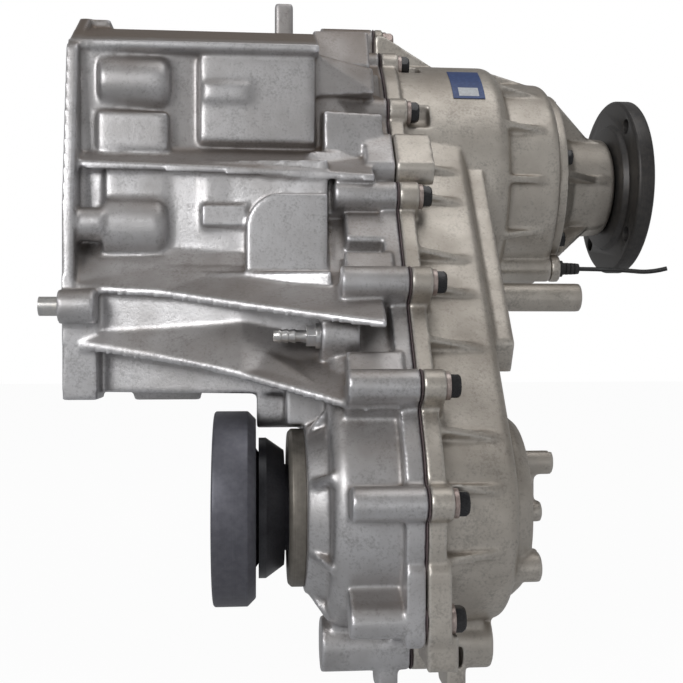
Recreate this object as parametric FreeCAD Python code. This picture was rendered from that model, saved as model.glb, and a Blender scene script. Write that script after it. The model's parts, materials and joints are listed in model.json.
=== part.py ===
# Two-speed chain-drive transfer case: a ribbed front housing that bolts to the gearbox, the chain
# case behind it, a stepped clutch housing, and output flanges on the main axis and on the lower axis.
# +X runs rearwards along the main shaft, the gearbox mating face is X = 0, and +Z is up.
import FreeCAD, Part
import math
import os

V = FreeCAD.Vector

# Chain drive
CHAIN_PITCH = 9.525
CHAIN_LINKS = 90
SPROCKET_TEETH = 35
CHAIN_LINE_DEG = 37.7
CHAIN_X = 194.0
SPROCKET_WIDTH = 24.0
CHAIN_PLATE_HEIGHT = 8.2
CHAIN_PLATE_THICKNESS = 2.2
CHAIN_PIN_RADIUS = 1.9
CHAIN_ROLLER_RADIUS = 3.0

# Reduction gearing
GEAR_MODULE = 1.75
SUN_TEETH = 36
PLANET_TEETH = 18
PLANET_COUNT = 4
PLANET_WIDTH = 22.0
PLANET_X = 72.0
PLANET_PIN_RADIUS = 5.0
RING_RIM = 6.0
CARRIER_PLATE = 7.0
DOG_TEETH = 24
DOG_TIP_RADIUS = 26.2
DOG_ROOT_RADIUS = 23.4
DOG_WIDTH = 7.0
RANGE_TRAVEL = 19.0

# Range selector
RAIL_RADIUS = 5.0
RAIL_DISTANCE = 62.0
FORK_THICKNESS = 6.8
LEVER_LENGTH = 25.0
SELECTOR_SHAFT_RADIUS = 6.0
SELECTOR_PIN_RADIUS = 3.0
SELECTOR_STUB = 14.0
SELECTOR_STUB_RADIUS = 5.5
SELECTOR_LEVER_OUT = 78.0
SELECTOR_LEVER = 6.0
SELECTOR_HUB_RADIUS = 11.0
SELECTOR_EYE_RADIUS = 6.0
SELECTOR_BOSS_RADIUS = 14.0
SELECTOR_BOSS_END = 124.0
SELECTOR_REST_DEG = 22.33
SELECTOR_WALL = 8.0
FORK_TOP_ABOVE_RAIL = 15.0
FORK_TOP_HALF = 9.0
FORK_HALF_WIDTH = 8.0

# Clearances
RUNNING_CLEARANCE = 0.05
TOOTH_CLEARANCE = 0.35
FACE_GAP = 0.3
GASKET_THICKNESS = 0.6

# Front housing
FRONT_WALL = 12.0
FLANGE_RIM = 7.0
FLANGE_CORNER_DEPTH = 19.0
NECK_X = 150.0
ROOF_Z = 86.0
ROOF_HALF_WIDTH = 76.0
SHOULDER_Y = 118.0
SHOULDER_Z = 66.0
BAY_TWO_Z = -6.0
BAY_THREE_Z = -74.0
BOX_BOTTOM_Z = -144.0
BOX_WALL = 12.0
NEAR_WALL_Y = 117.0
BAY_ONE_REAR_Y = 97.0
BAY_TWO_REAR_Y = 133.0
BAY_THREE_REAR_Y = 162.0
FAR_WALL_Y = 100.0
RIB_THICKNESS = 4.5
RING_SEAT_RIM = 10.0

# Chain case, split at the seam
SEAM_X = 196.0
REAR_WALL_X = 247.0
REAR_WALL = 9.0
CASE_WALL = 6.0
CASE_UPPER_RADIUS = 78.0
CASE_LOWER_RADIUS = 66.0
REAR_DRAFT = 3.0
RIM_UPPER_RADIUS = 87.0
RIM_LOWER_RADIUS = 74.0
RIM_WIDTH = 10.0
BOSS_RADIUS = 9.0
BOSS_FRONT_X = 158.0
BOSS_REAR_X = 209.0
LOBE_FRONT_X = 178.0
LOBE_REAR_X = 220.0
BOSS_WEB_REACH = 20.0
CREST_SEAT_X = 203.0
GUSSET_THICKNESS = 4.5
GUSSET_END_X = 240.0
GUSSET_ROOT = 6.0

# Clutch housing steps
BIG_DRUM_RADIUS = 84.0
BIG_DRUM_END_X = 280.0
BIG_DRUM_ROUNDING = 11.0
SMALL_DRUM_RADIUS = 73.0
SMALL_DRUM_END_X = 316.0
SMALL_DRUM_ROUNDING = 6.0
DRUM_WALL = 7.0
DRUM_GUSSETS = 13
DRUM_GUSSET_FIRST_DEG = 157.4

# Output retainer
RETAINER_RIM_RADIUS = 66.0
RETAINER_RIM = 6.0
RETAINER_CONE_X = 350.0
RETAINER_CONE_RADIUS = 37.0
RETAINER_NOSE_X = 366.0
RETAINER_NOSE_RADIUS = 35.0
RETAINER_FINS = 6
RETAINER_BOLTS = 6
RETAINER_BOLT_CIRCLE = 57.0

# Fasteners
CASE_BOLT_RADIUS = 4.0
CASE_BOLT_HEAD_RADIUS = 7.0
CASE_BOLT_HEAD_HEIGHT = 8.0
CASE_BOLT_WASHER_RADIUS = 7.5
CASE_BOLT_WASHER_HEIGHT = 2.5
CASE_BOLT_LENGTH = 44.0
BOLT_END_GAP = 1.0
SMALL_BOLT_RADIUS = 3.0
SMALL_BOLT_HEAD_RADIUS = 5.5
SMALL_BOLT_HEAD_HEIGHT = 5.0
SMALL_BOLT_LENGTH = 20.0
DOWEL_RADIUS = 5.5
DOWEL_SEAT_RADIUS = 5.2
DOWEL_BORE_RADIUS = 4.2
DOWEL_STAND_OUT = 11.0
DOWEL_DEPTH = 14.0
DOWEL_MOUTH_DEPTH = 1.0
DOWEL_MOUTH_GAP = 0.6
GEARBOX_TAP_RADIUS = 4.25
GEARBOX_TAP_DEPTH = 24.0

# Main shaft line
SPLINE_BORE_RADIUS = 15.0
SPLINE_START_X = 42.0
SPLINE_BORE_END_X = 62.0
SPLINE_TEETH = 24
SPLINE_DEPTH = 1.6
INPUT_SHAFT_X = -2.0
RETAINER_PLATE_RADIUS = 62.0
RETAINER_PLATE = 8.0
PILOT_LIP_RADIUS = 50.0
PILOT_LIP = 4.0
INPUT_BEARING_X = 14.0
INPUT_BEARING_WIDTH = 20.0
INPUT_SHAFT_RADIUS = 25.0
INPUT_BEARING_RADIUS = 45.0
INPUT_SEAL_RADIUS = 35.0
PILOT_RADIUS = 10.0
PILOT_BEARING_RADIUS = 14.0
MAIN_SHAFT_RADIUS = 17.0
MAIN_COLLAR_RADIUS = 24.0
SPROCKET_JOURNAL_RADIUS = 21.0
CLUTCH_SEAT_RADIUS = 19.0
REAR_BEARING_WIDTH = 19.0
REAR_BEARING_BORE = 22.5
REAR_BEARING_RADIUS = 42.5
TONE_WHEEL_RADIUS = 34.0
TONE_WHEEL_WIDTH = 5.0
TONE_WHEEL_TEETH = 30
REAR_HUB_RADIUS = 22.0
REAR_SEAL_RADIUS = 30.0
REAR_FLANGE_RADIUS = 63.0
REAR_FLANGE_X = 372.0
REAR_FLANGE_THICKNESS = 12.0
REAR_FLANGE_PCD = 107.0
REAR_FLANGE_HOLES = 4
REAR_FLANGE_HOLE_RADIUS = 5.25
REAR_RECESS_RADIUS = 30.0
REAR_RECESS_DEPTH = 8.0
NUT_RADIUS = 17.0
THREAD_RADIUS = 12.0

# Clutch
CLUTCH_DRUM_RADIUS = 60.0
CLUTCH_DRUM_WALL = 4.0
CLUTCH_DRUM_X = 218.0
CLUTCH_DRUM_LENGTH = 52.0
CLUTCH_HUB_RADIUS = 38.0
CLUTCH_PLATE = 1.8
CLUTCH_PLATE_GAP = 0.1
CLUTCH_PAIRS = 7
CLUTCH_RELEASE_GAP = 1.2
PRESSURE_PLATE = 5.0
COIL_X = 280.0
COIL_WIDTH = 13.0
COIL_BORE_RADIUS = 32.0

# Front output line
FRONT_BEARING_X = 144.0
FRONT_BEARING_WIDTH = 18.0
FRONT_BEARING_BORE = 20.0
FRONT_BEARING_RADIUS = 40.0
FRONT_SEAT_RADIUS = 16.0
SPROCKET_SEAT_RADIUS = 22.0
TAIL_RADIUS = 15.0
TAIL_BEARING_RADIUS = 20.0
TAIL_BEARING_WIDTH = 16.0
FRONT_HUB_RADIUS = 24.0
FRONT_SEAL_RADIUS = 34.0
SEAL_CARRIER_RADIUS = 44.0
SEAL_CARRIER_WIDTH = 9.0
FRONT_NOSE_X = 138.0
FRONT_NOSE_RADIUS = 47.0
FRONT_FLANGE_X = 88.3
FRONT_FLANGE_RADIUS = 54.0
FRONT_FLANGE_WIDTH = 18.7
FRONT_FLANGE_PCD = 84.0
FRONT_FLANGE_HOLES = 6
FRONT_FLANGE_HOLE_RADIUS = 4.25
FRONT_RECESS_RADIUS = 30.0
FRONT_RECESS_DEPTH = 8.7
FRONT_CHAMFER = 4.5
FRONT_NUT_RADIUS = 14.5
FRONT_THREAD_RADIUS = 10.0
DUST_CONE_RADIUS = 39.0

# Support boss under the case, and fittings
SUPPORT_BOSS_RADIUS = 15.0
SUPPORT_FRONT_X = 147.0
SUPPORT_REAR_X = 242.0
BARB_RADIUS = 4.0
BARB_BORE_RADIUS = 2.5
BARB_LENGTH = 20.0
LEAD_RADIUS = 1.5
GROMMET_RADIUS = 4.2
BARB_SHANK = 12.0
BARB_PAD_RADIUS = 11.0
BARB_ALONG = 194.8
BARB_OFF_WALL = 1.5

# Values that follow from the driving dimensions
SLOPE = math.radians(CHAIN_LINE_DEG)
ALONG = (-math.sin(SLOPE), -math.cos(SLOPE))
NEAR = (-math.cos(SLOPE), math.sin(SLOPE))
NEAR_DEG = 180.0 - CHAIN_LINE_DEG
CENTRE_DISTANCE = CHAIN_PITCH * (CHAIN_LINKS - SPROCKET_TEETH) / 2
MAIN_AXIS = (0.0, 0.0)
FRONT_AXIS = (CENTRE_DISTANCE * ALONG[0], CENTRE_DISTANCE * ALONG[1])
SPROCKET_PITCH_RADIUS = CHAIN_PITCH / (2 * math.sin(math.pi / SPROCKET_TEETH))
RING_TEETH = SUN_TEETH + 2 * PLANET_TEETH
PLANET_CENTRE = GEAR_MODULE * (SUN_TEETH + PLANET_TEETH) / 2
RING_ROOT_RADIUS = GEAR_MODULE * (RING_TEETH / 2 + 1.25)
RING_OUTER_RADIUS = RING_ROOT_RADIUS + RING_RIM
REAR_START_X = SEAM_X + GASKET_THICKNESS
CHAIN_HALF_WIDTH = SPROCKET_WIDTH / 2 + 2 * CHAIN_PLATE_THICKNESS + 3 * FACE_GAP
FRONT_CAVITY_X = CHAIN_X - CHAIN_HALF_WIDTH - 12.0
REAR_CAVITY_X = REAR_WALL_X - REAR_WALL
SUN_END_X = PLANET_X + PLANET_WIDTH + 2.0
CARRIER_REAR_X = SUN_END_X + 4.0
INPUT_DOG_END_X = SUN_END_X + DOG_WIDTH + 5.0
REAR_BEARING_X = SMALL_DRUM_END_X - REAR_BEARING_WIDTH - 1.0
SUPPORT_PLACE = (-170.0, -282.0)
DOWEL_PLACE = (-145.0, -94.0)
GROMMET_PLACE = (-39.5, -63.0)
RAIL_DEG = 45.0
RAIL_PLACE = (RAIL_DISTANCE * math.cos(math.radians(RAIL_DEG)),
              RAIL_DISTANCE * math.sin(math.radians(RAIL_DEG)))
FORK_X = 137.0
RAIL_FRONT_X = 110.0
RAIL_REAR_X = FRONT_CAVITY_X + 11.0
RAIL_LUG = 8.0
FORK_TOP = RAIL_DISTANCE + FORK_TOP_ABOVE_RAIL
MAIN_COLLAR_X = FRONT_CAVITY_X + 3.0
TONE_WHEEL_X = SMALL_DRUM_END_X + 4.0
REAR_SHAFT_RADIUS = REAR_BEARING_BORE - 6.5
BARB_SEAT_X = NECK_X - 3.0
TAIL_BOSS_X = REAR_CAVITY_X - TAIL_BEARING_WIDTH - 1.0
FILL_PLUG_PLACE = (-170.0, -172.0)

# Pocketed rib on the rear wall: distances towards the near side, and how far it stands out
RAIL_RIB_NEAR = 66.0
RAIL_RIB_DEPTH = 24.0
RAIL_RIB_HEIGHT = 12.0

# Route of the coil lead
LEAD_ROUTE = [(322, -39.5, -63), (346, -39.5, -63), (365, -56, -65), (377, -70, -67.5), (386, -76, -65)]

# Case bolts: a turn from the near side and the distance outside the seam rim on the two arcs,
# and the distance along, the side and the same distance outside the rim on the straight runs
CREST_BOLT = (-52.3, 17.0)
UPPER_ARC_BOLTS = [(-26.4, -1.9), (-99.0, 2.1), (-144.2, 1.8)]
LOWER_ARC_BOLTS = [(73.9, 6.2), (27.9, 0.7), (116.6, 6.5)]
SIDE_BOLTS = [(21.1, 1, -1.5), (98.6, 1, 2.0), (170.6, 1, 9.5), (238.3, 1, 8.9),
              (21.1, -1, 0.0), (98.6, -1, 2.0), (170.6, -1, 3.5), (238.3, -1, 4.8)]
GEARBOX_TAPS = [(-104.0, 50.0), (94.0, 50.0), (94.0, -136.0), (-104.0, -136.0)]

# Near side of the front flange and of the four long shelves, read along the casting
FLANGE_OUTLINE = [(-76.6, 92.0), (-124.0, 61.0), (-131.0, 15.0), (-138.0, -35.0), (-139.0, -90.0),
                  (-134.0, -148.0), (60.0, -148.0), (104.0, -146.0), (110.0, -60.0), (110.0, 61.0),
                  (77.0, 92.0)]
SHELF_ONE = [(0, -SHOULDER_Y), (NECK_X, -SHOULDER_Y), (NECK_X, -80), (0, -80)]
SHELF_TWO = [(0, -128.5), (58, -130), (143, -133), (182, -137), (182, -70), (0, -100)]
SHELF_THREE = [(0, -136), (58, -150), (105, -170), (181, -200), (184, -120), (0, -100)]
SHELF_FOUR = [(0, -134), (82, -165), (160, -212), (186, -214), (186, -140), (0, -100)]
NEAR_GUSSETS = [21.0, 64.0, 90.0, 136.0, 162.0, 200.0, 257.0]
LOWER_GUSSET_TURNS = [-22.0, -52.0]

# Concave run of the two lower shelves into the wall above them
SWEEP_THREE = [(0, -124), (58, -136), (105, -143), (181, -147), (184, -110), (0, -100)]
SWEEP_FOUR = [(0, -130), (82, -150), (160, -166), (186, -166), (186, -120), (0, -100)]

# Relief of the near wall: bulges (start, end, radius, axis) and raised panels (X, Y and Z ranges)
BULGES = [(18, 60, 16, (-106, 43)), (22, 60, 20, (-114, -46))]
PANELS = [
    ((17, 59), (-119, -95), (1, 24)),
    ((77, 148), (-113, -90), (7, 59)),
    ((80, 108), (-116, -90), (32, 43)),
    ((22, 59), (-124, -100), (-40, -12)),
    ((60, 76), (-121, -100), (-52, -10)),
    ((80, 108), (-127, -100), (-46, -12)),
    ((80, 106), (-130, -100), (-46, -33)),
]
CORNER_PANEL = ((106, 153), (-147, -100), (-73, -28))
CORNER_PANEL_ROUNDING = 20.0
ROUND_BOSS = (-126.0, -45.0)
ROUND_BOSS_RADIUS = 10.0
BOSS_PAD_ROWS = [(3, 158, 182, -6.8), (44, 160, 184, -0.8), (84, 164, 190, 1.1), (118, 164, 188, -1.2),
                 (151, 162, 190, 2.5), (220, 160, 190, 2.0)]

# Plain bosses of the rear wall: rear end, radius and place
REAR_BOSSES = [(324, 9.3, (-80, -85)), (278, 7.2, (-170, -182)), (272, 6, (-170, -210))]
LOW_REAR_BOSS = (262, 8, (-203, -234))


def chain_point(along, near):
    """Place in Y, Z from the distances along the chain line and towards its near side."""
    return (along * ALONG[0] + near * NEAR[0], along * ALONG[1] + near * NEAR[1])


def side_width(along, upper, lower):
    """Half-width of the outline round both axes at a distance along the chain line."""
    sine = (upper - lower) / CENTRE_DISTANCE
    return (upper - along * sine) / math.sqrt(1 - sine * sine)


def disc(x0, x1, radius, axis=MAIN_AXIS):
    """Solid cylinder along X between two stations."""
    return Part.makeCylinder(radius, x1 - x0, V(x0, axis[0], axis[1]), V(1, 0, 0))


def ring(x0, x1, outer, inner, axis=MAIN_AXIS):
    """Annular ring along X."""
    return disc(x0, x1, outer, axis).cut(disc(x0 - 1, x1 + 1, inner, axis))


def turned(profile, axis=MAIN_AXIS):
    """Solid of revolution about an axis along X, from (x, radius) corners."""
    points = [V(x, axis[0], axis[1] + r) for x, r in profile]
    face = Part.Face(Part.makePolygon(points + points[:1]))
    return face.revolve(V(0, axis[0], axis[1]), V(1, 0, 0), 360)


def box(x, y, z):
    """Box from its (low, high) ranges."""
    return Part.makeBox(x[1] - x[0], y[1] - y[0], z[1] - z[0], V(x[0], y[0], z[0]))


def prism_x(points, x0, x1):
    """Y, Z outline carried along X."""
    corners = [V(x0, y, z) for y, z in points]
    return Part.Face(Part.makePolygon(corners + corners[:1])).extrude(V(x1 - x0, 0, 0))


def rounded_prism_x(points, x0, x1, radius):
    """The same, with its long edges rounded."""
    solid = prism_x(points, x0, x1)
    long_edges = [e for e in solid.Edges if abs(e.Vertexes[0].X - e.Vertexes[-1].X) > (x1 - x0) / 2]
    return solid.makeFillet(radius, long_edges)


def plan_block(plan, z0, z1):
    """X, Y outline carried up."""
    points = [V(x, y, z0) for x, y in plan]
    return Part.Face(Part.makePolygon(points + points[:1])).extrude(V(0, 0, z1 - z0))


def slanted_shelf(plan, root_y, root_z, fall, climb, thickness=RIB_THICKNESS):
    """Shelf rib: an X, Y outline laid on a draw plane that falls towards the near side."""
    points = [V(x, y, root_z + fall * (y - root_y) + climb * x) for x, y in plan]
    return Part.Face(Part.makePolygon(points + points[:1])).extrude(V(0, 0, -thickness))


def fin(profile, turn_deg, thickness, axis=MAIN_AXIS):
    """Flat rib with (x, radius) corners, in the plane through the axis at a turn from +Y."""
    turn = math.radians(turn_deg)
    out = V(0, math.cos(turn), math.sin(turn))
    side = V(0, -math.sin(turn), math.cos(turn)) * thickness
    points = [V(x, axis[0], axis[1]) + out * r - side * 0.5 for x, r in profile]
    return Part.Face(Part.makePolygon(points + points[:1])).extrude(side)


def hull_wire(x, upper, lower):
    """Closed outline round both shaft axes: two arcs joined by their tangent lines."""
    sine = (upper - lower) / CENTRE_DISTANCE
    cosine = math.sqrt(1 - sine * sine)

    def at(along, near):
        return V(x, *chain_point(along, near))

    upper_near = at(upper * sine, upper * cosine)
    upper_far = at(upper * sine, -upper * cosine)
    lower_near = at(CENTRE_DISTANCE + lower * sine, lower * cosine)
    lower_far = at(CENTRE_DISTANCE + lower * sine, -lower * cosine)
    return Part.Wire([
        Part.Arc(upper_far, at(-upper, 0), upper_near).toShape(),
        Part.LineSegment(upper_near, lower_near).toShape(),
        Part.Arc(lower_near, at(CENTRE_DISTANCE + lower, 0), lower_far).toShape(),
        Part.LineSegment(lower_far, upper_far).toShape(),
    ])


def hull(x0, x1, upper, lower):
    """Straight-walled solid inside that outline."""
    return Part.Face(hull_wire(x0, upper, lower)).extrude(V(x1 - x0, 0, 0))


def drafted_hull(x0, x1, upper, lower, draft):
    """The same with its walls drawn in towards x1."""
    wires = [hull_wire(x0, upper, lower), hull_wire(x1, upper - draft, lower - draft)]
    return Part.makeLoft(wires, True, True)


def joined(solids):
    """One solid from several that meet."""
    return solids[0].multiFuse(solids[1:]).removeSplitter()


def toothed_outline(teeth, root, tip, root_share, tip_share, first_deg=0.0, axis=MAIN_AXIS):
    """Outline of straight-flanked teeth; the shares are of the tooth pitch."""
    points = []
    pitch = 2 * math.pi / teeth
    corners = ((root, -root_share), (tip, -tip_share), (tip, tip_share), (root, root_share))
    for k in range(teeth):
        middle = math.radians(first_deg) + k * pitch
        for radius, share in corners:
            angle = middle + share * pitch / 2
            points.append((axis[0] + radius * math.cos(angle), axis[1] + radius * math.sin(angle)))
    return points


def polar(radius, turn_deg, axis=MAIN_AXIS):
    """Point at a radius and an angle round an axis, as (y, z)."""
    turn = math.radians(turn_deg)
    return (axis[0] + radius * math.cos(turn), axis[1] + radius * math.sin(turn))


def hexagon(x0, x1, radius, axis=MAIN_AXIS):
    """Hexagon prism along the main axis direction."""
    return prism_x([polar(radius, 60 * k, axis) for k in range(6)], x0, x1)


def flange_bolt(seat_x, axis, length):
    """Case bolt with a washer face under its hexagon head, which is rounded off at the end."""
    shank = disc(seat_x - length, seat_x, CASE_BOLT_RADIUS, axis)
    washer = disc(seat_x, seat_x + CASE_BOLT_WASHER_HEIGHT, CASE_BOLT_WASHER_RADIUS, axis)
    head_x = seat_x + CASE_BOLT_HEAD_HEIGHT
    head = hexagon(seat_x + CASE_BOLT_WASHER_HEIGHT, head_x, CASE_BOLT_HEAD_RADIUS, axis)
    crown = turned([(seat_x, 0), (seat_x, CASE_BOLT_WASHER_RADIUS), (head_x - 2, CASE_BOLT_HEAD_RADIUS),
                    (head_x, CASE_BOLT_HEAD_RADIUS - 1.5), (head_x, 0)], axis)
    return joined([shank, washer, head.common(crown)])


def small_bolt(seat_x, axis):
    """Small hexagon bolt with its head on the given seat."""
    shank = disc(seat_x - SMALL_BOLT_LENGTH, seat_x, SMALL_BOLT_RADIUS, axis)
    return joined([shank, hexagon(seat_x, seat_x + SMALL_BOLT_HEAD_HEIGHT, SMALL_BOLT_HEAD_RADIUS, axis)])


def ball_bearing(x0, width, bore, outer, balls, axis=MAIN_AXIS):
    """Outer race, inner race, and the balls held by their cage."""
    middle = (bore + outer) / 2
    ball = (outer - bore) * 0.3
    land = ball * 0.5
    centre = x0 + width / 2
    groove = Part.makeTorus(middle, ball + RUNNING_CLEARANCE, V(centre, *axis), V(1, 0, 0))
    outer_race = ring(x0, x0 + width, outer, middle + land, axis).cut(groove)
    inner_race = ring(x0, x0 + width, middle - land, bore, axis).cut(groove)
    cage = ring(centre - ball * 0.6, centre + ball * 0.6, middle + land * 0.4, middle - land * 0.4, axis)
    spheres = [Part.makeSphere(ball, V(centre, *polar(middle, 360 * k / balls, axis)))
               for k in range(balls)]
    return outer_race, inner_race, cage.multiFuse(spheres)


def bolt_places():
    """Case bolts in Y, Z with the seat of each head; the lowest near bolt comes first."""
    places = [(polar(RIM_LOWER_RADIUS + out, NEAR_DEG + turn, FRONT_AXIS), BOSS_REAR_X)
              for turn, out in LOWER_ARC_BOLTS]
    places += [(polar(RIM_UPPER_RADIUS + out, NEAR_DEG + turn), BOSS_REAR_X)
               for turn, out in UPPER_ARC_BOLTS]
    for along, side, out in SIDE_BOLTS:
        near = side * (side_width(along, RIM_UPPER_RADIUS, RIM_LOWER_RADIUS) + out)
        places.append((chain_point(along, near), BOSS_REAR_X))
    crest_turn, crest_out = CREST_BOLT
    return places + [(polar(RIM_UPPER_RADIUS + crest_out, NEAR_DEG + crest_turn), CREST_SEAT_X)]


def inward_web(place, x0, x1, reach, width):
    """Block that ties a boss to the case wall, towards the line of centres."""
    along = place[0] * ALONG[0] + place[1] * ALONG[1]
    foot = chain_point(min(max(along, 0.0), CENTRE_DISTANCE), 0.0)
    inward = V(0, foot[0] - place[0], foot[1] - place[1]).normalize()
    across = V(0, -inward.z, inward.y) * (width / 2)
    start = V(x0, *place)
    end = start + inward * reach
    points = [start + across, end + across, end - across, start - across]
    return Part.Face(Part.makePolygon(points + points[:1])).extrude(V(x1 - x0, 0, 0))


def case_bosses(x0, rear):
    """Bolt bosses with their webs, from x0 to the seam or to each bolt's seat."""
    solids = []
    for place, seat in bolt_places():
        x1 = seat if rear else SEAM_X
        solids.append(disc(x0, x1, BOSS_RADIUS, place))
        solids.append(inward_web(place, x0, x1, BOSS_WEB_REACH, 2 * BOSS_RADIUS - 2))
    return solids


def bolt_holes():
    """Holes for the case bolts."""
    x0 = BOSS_REAR_X - CASE_BOLT_LENGTH - BOLT_END_GAP
    return [disc(x0, BOSS_REAR_X, CASE_BOLT_RADIUS, place) for place, _ in bolt_places()]


def front_box():
    """Box from the gearbox flange to the neck, one block for each bay between the long shelves."""
    roof = [(-ROOF_HALF_WIDTH, ROOF_Z), (ROOF_HALF_WIDTH, ROOF_Z), (FAR_WALL_Y, SHOULDER_Z),
            (FAR_WALL_Y, SHOULDER_Z - RIB_THICKNESS), (-SHOULDER_Y, SHOULDER_Z - RIB_THICKNESS),
            (-SHOULDER_Y, SHOULDER_Z)]
    crest = [(-ROOF_HALF_WIDTH, SHOULDER_Z), (-ROOF_HALF_WIDTH + 12, ROOF_Z + 6),
             (ROOF_HALF_WIDTH - 30, ROOF_Z + 6),
             (ROOF_HALF_WIDTH, ROOF_Z - 20), (0, 0)]
    blocks = [prism_x(roof, 0, NECK_X), prism_x(crest, NECK_X - 1, SEAM_X - RIM_WIDTH)]
    for z0, z1, rear_y in ((BAY_TWO_Z, SHOULDER_Z - 1, BAY_ONE_REAR_Y),
                           (BAY_THREE_Z, BAY_TWO_Z, BAY_TWO_REAR_Y),
                           (BOX_BOTTOM_Z, BAY_THREE_Z, BAY_THREE_REAR_Y)):
        plan = [(0, -NEAR_WALL_Y), (NECK_X + 4, -rear_y), (NECK_X + 4, FAR_WALL_Y), (0, FAR_WALL_Y)]
        blocks.append(plan_block(plan, z0, z1))
    return blocks


def near_shelves():
    """The four long shelves of the near side, the two lower ones swept up into the wall."""
    return [
        slanted_shelf(SHELF_ONE, -SHOULDER_Y, SHOULDER_Z + 1, 0.03, 0.0),
        slanted_shelf(SHELF_TWO, -NEAR_WALL_Y, -1.0, 0.58, -0.015),
        slanted_shelf(SHELF_THREE, -118.0, -72.0, 0.5, 0.053),
        slanted_shelf(SHELF_FOUR, -136.0, -114.0, 0.5, 0.04),
        slanted_shelf(SWEEP_THREE, -118.0, -56.0, 1.1, 0.053, 14.0),
        slanted_shelf(SWEEP_FOUR, -136.0, -98.0, 1.0, 0.04, 14.0),
    ]


def bulge(x0, x1, radius, axis):
    """Half-round bulge on the near wall, rounded off at its rear end."""
    solid = disc(x0, x1, radius, axis)
    return solid.makeFillet(radius * 0.4, [e for e in solid.Edges if e.BoundBox.XMin > x1 - 1])


def corner_block():
    """Raised block of the second bay, widely rounded where it meets the bay's open corner."""
    solid = box(*CORNER_PANEL)
    x0 = CORNER_PANEL[0][0]
    z1 = CORNER_PANEL[2][1]
    corner = [e for e in solid.Edges
              if e.BoundBox.XMax < x0 + 1 and e.BoundBox.ZMin > z1 - 1 and e.BoundBox.YLength > 1]
    return solid.makeFillet(CORNER_PANEL_ROUNDING, corner)


def bay_features():
    """Bulges, raised panels and pads between the shelves, and the dowel boss at the flange."""
    y, z = DOWEL_PLACE
    boss = DOWEL_RADIUS + 4.5
    boss_x = DOWEL_DEPTH + 7
    return [bulge(*row) for row in BULGES] + [box(*row) for row in PANELS] + [
        disc(0, boss_x + 2, ROUND_BOSS_RADIUS, ROUND_BOSS),
        corner_block(),
        slanted_shelf([(8, -126), (108, -152), (108, -120), (8, -110)], -125.0, -106.0, 0.0, 0.04, 2.5),
        rounded_prism_x([(-150, -164), (-150, -130), (-100, -130), (-100, -164)], 112, 142, 8),
        disc(0, boss_x, boss, DOWEL_PLACE),
        box((0, boss_x), (y, 5 - NEAR_WALL_Y), (z - 9, z + 9)),
        rounded_prism_x([(-66, ROOF_Z - 6), (-66, ROOF_Z + 23), (-58, ROOF_Z + 23), (-58, ROOF_Z - 6)],
                        124, 136, 2),
    ]


def boss_pads():
    """Blocks beside the near bosses, each with a face that slopes back to the wall."""
    pads = []
    for along, x0, x1, out in BOSS_PAD_ROWS:
        near = side_width(along, RIM_UPPER_RADIUS, RIM_LOWER_RADIUS) + out
        outline = [(along - 12, near - 16), (along - 10, near), (along + 13, near + 1),
                   (along + 16, near - 16)]
        pads.append(rounded_prism_x([chain_point(a, n) for a, n in outline], x0, x1, 3))
    return pads


def front_bowl():
    """Nose round the lower shaft with its radial ribs."""
    nose = turned([(FRONT_NOSE_X, 0), (FRONT_NOSE_X, FRONT_NOSE_RADIUS), (NECK_X, FRONT_NOSE_RADIUS + 6),
                   (FRONT_CAVITY_X + 1, FRONT_NOSE_RADIUS + 6), (FRONT_CAVITY_X + 1, 0)], FRONT_AXIS)
    profile = [(NECK_X + 2, 30), (FRONT_NOSE_X + 1, 30), (FRONT_NOSE_X + 1, FRONT_NOSE_RADIUS),
               (NECK_X, CASE_LOWER_RADIUS - 3), (NECK_X + 2, CASE_LOWER_RADIUS - 3)]
    return [nose] + [fin(profile, NEAR_DEG + 15 + 45 * k, 5, FRONT_AXIS) for k in range(8)]


def support(x0, x1, ear_x):
    """Half of the long boss under the case, with the ear that hangs beside it."""
    tube = disc(x0, x1, SUPPORT_BOSS_RADIUS, SUPPORT_PLACE)
    y, z = SUPPORT_PLACE
    web = box((x0 + 6, x1 - 6), (y - 12, y + 12), (z, FRONT_AXIS[1] - 40))
    ear = rounded_prism_x([(y - 12, z - 26), (y - 12, z), (y + 16, z), (y + 16, z - 26)], ear_x,
                          ear_x + 11, 5)
    return [tube, web, ear]


def near_lobe(x0, x1):
    """Rounded pad of the seam flange on the near side, between the second and the third bolt."""
    corners = [(42, 80), (52, 94), (82, 95), (90, 80)]
    return rounded_prism_x([chain_point(a, n) for a, n in corners], x0, x1, 5)


def corner_lug(x0, x1):
    """Deep rounded lobe of the seam flange beside the lowest near bolt."""
    y, z = bolt_places()[0][0]
    points = [(y - 9, z + 32), (y - 9, z - 14), (y + 30, z - 14), (y + 30, z + 32)]
    return rounded_prism_x(points, x0, x1, 8)


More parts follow.
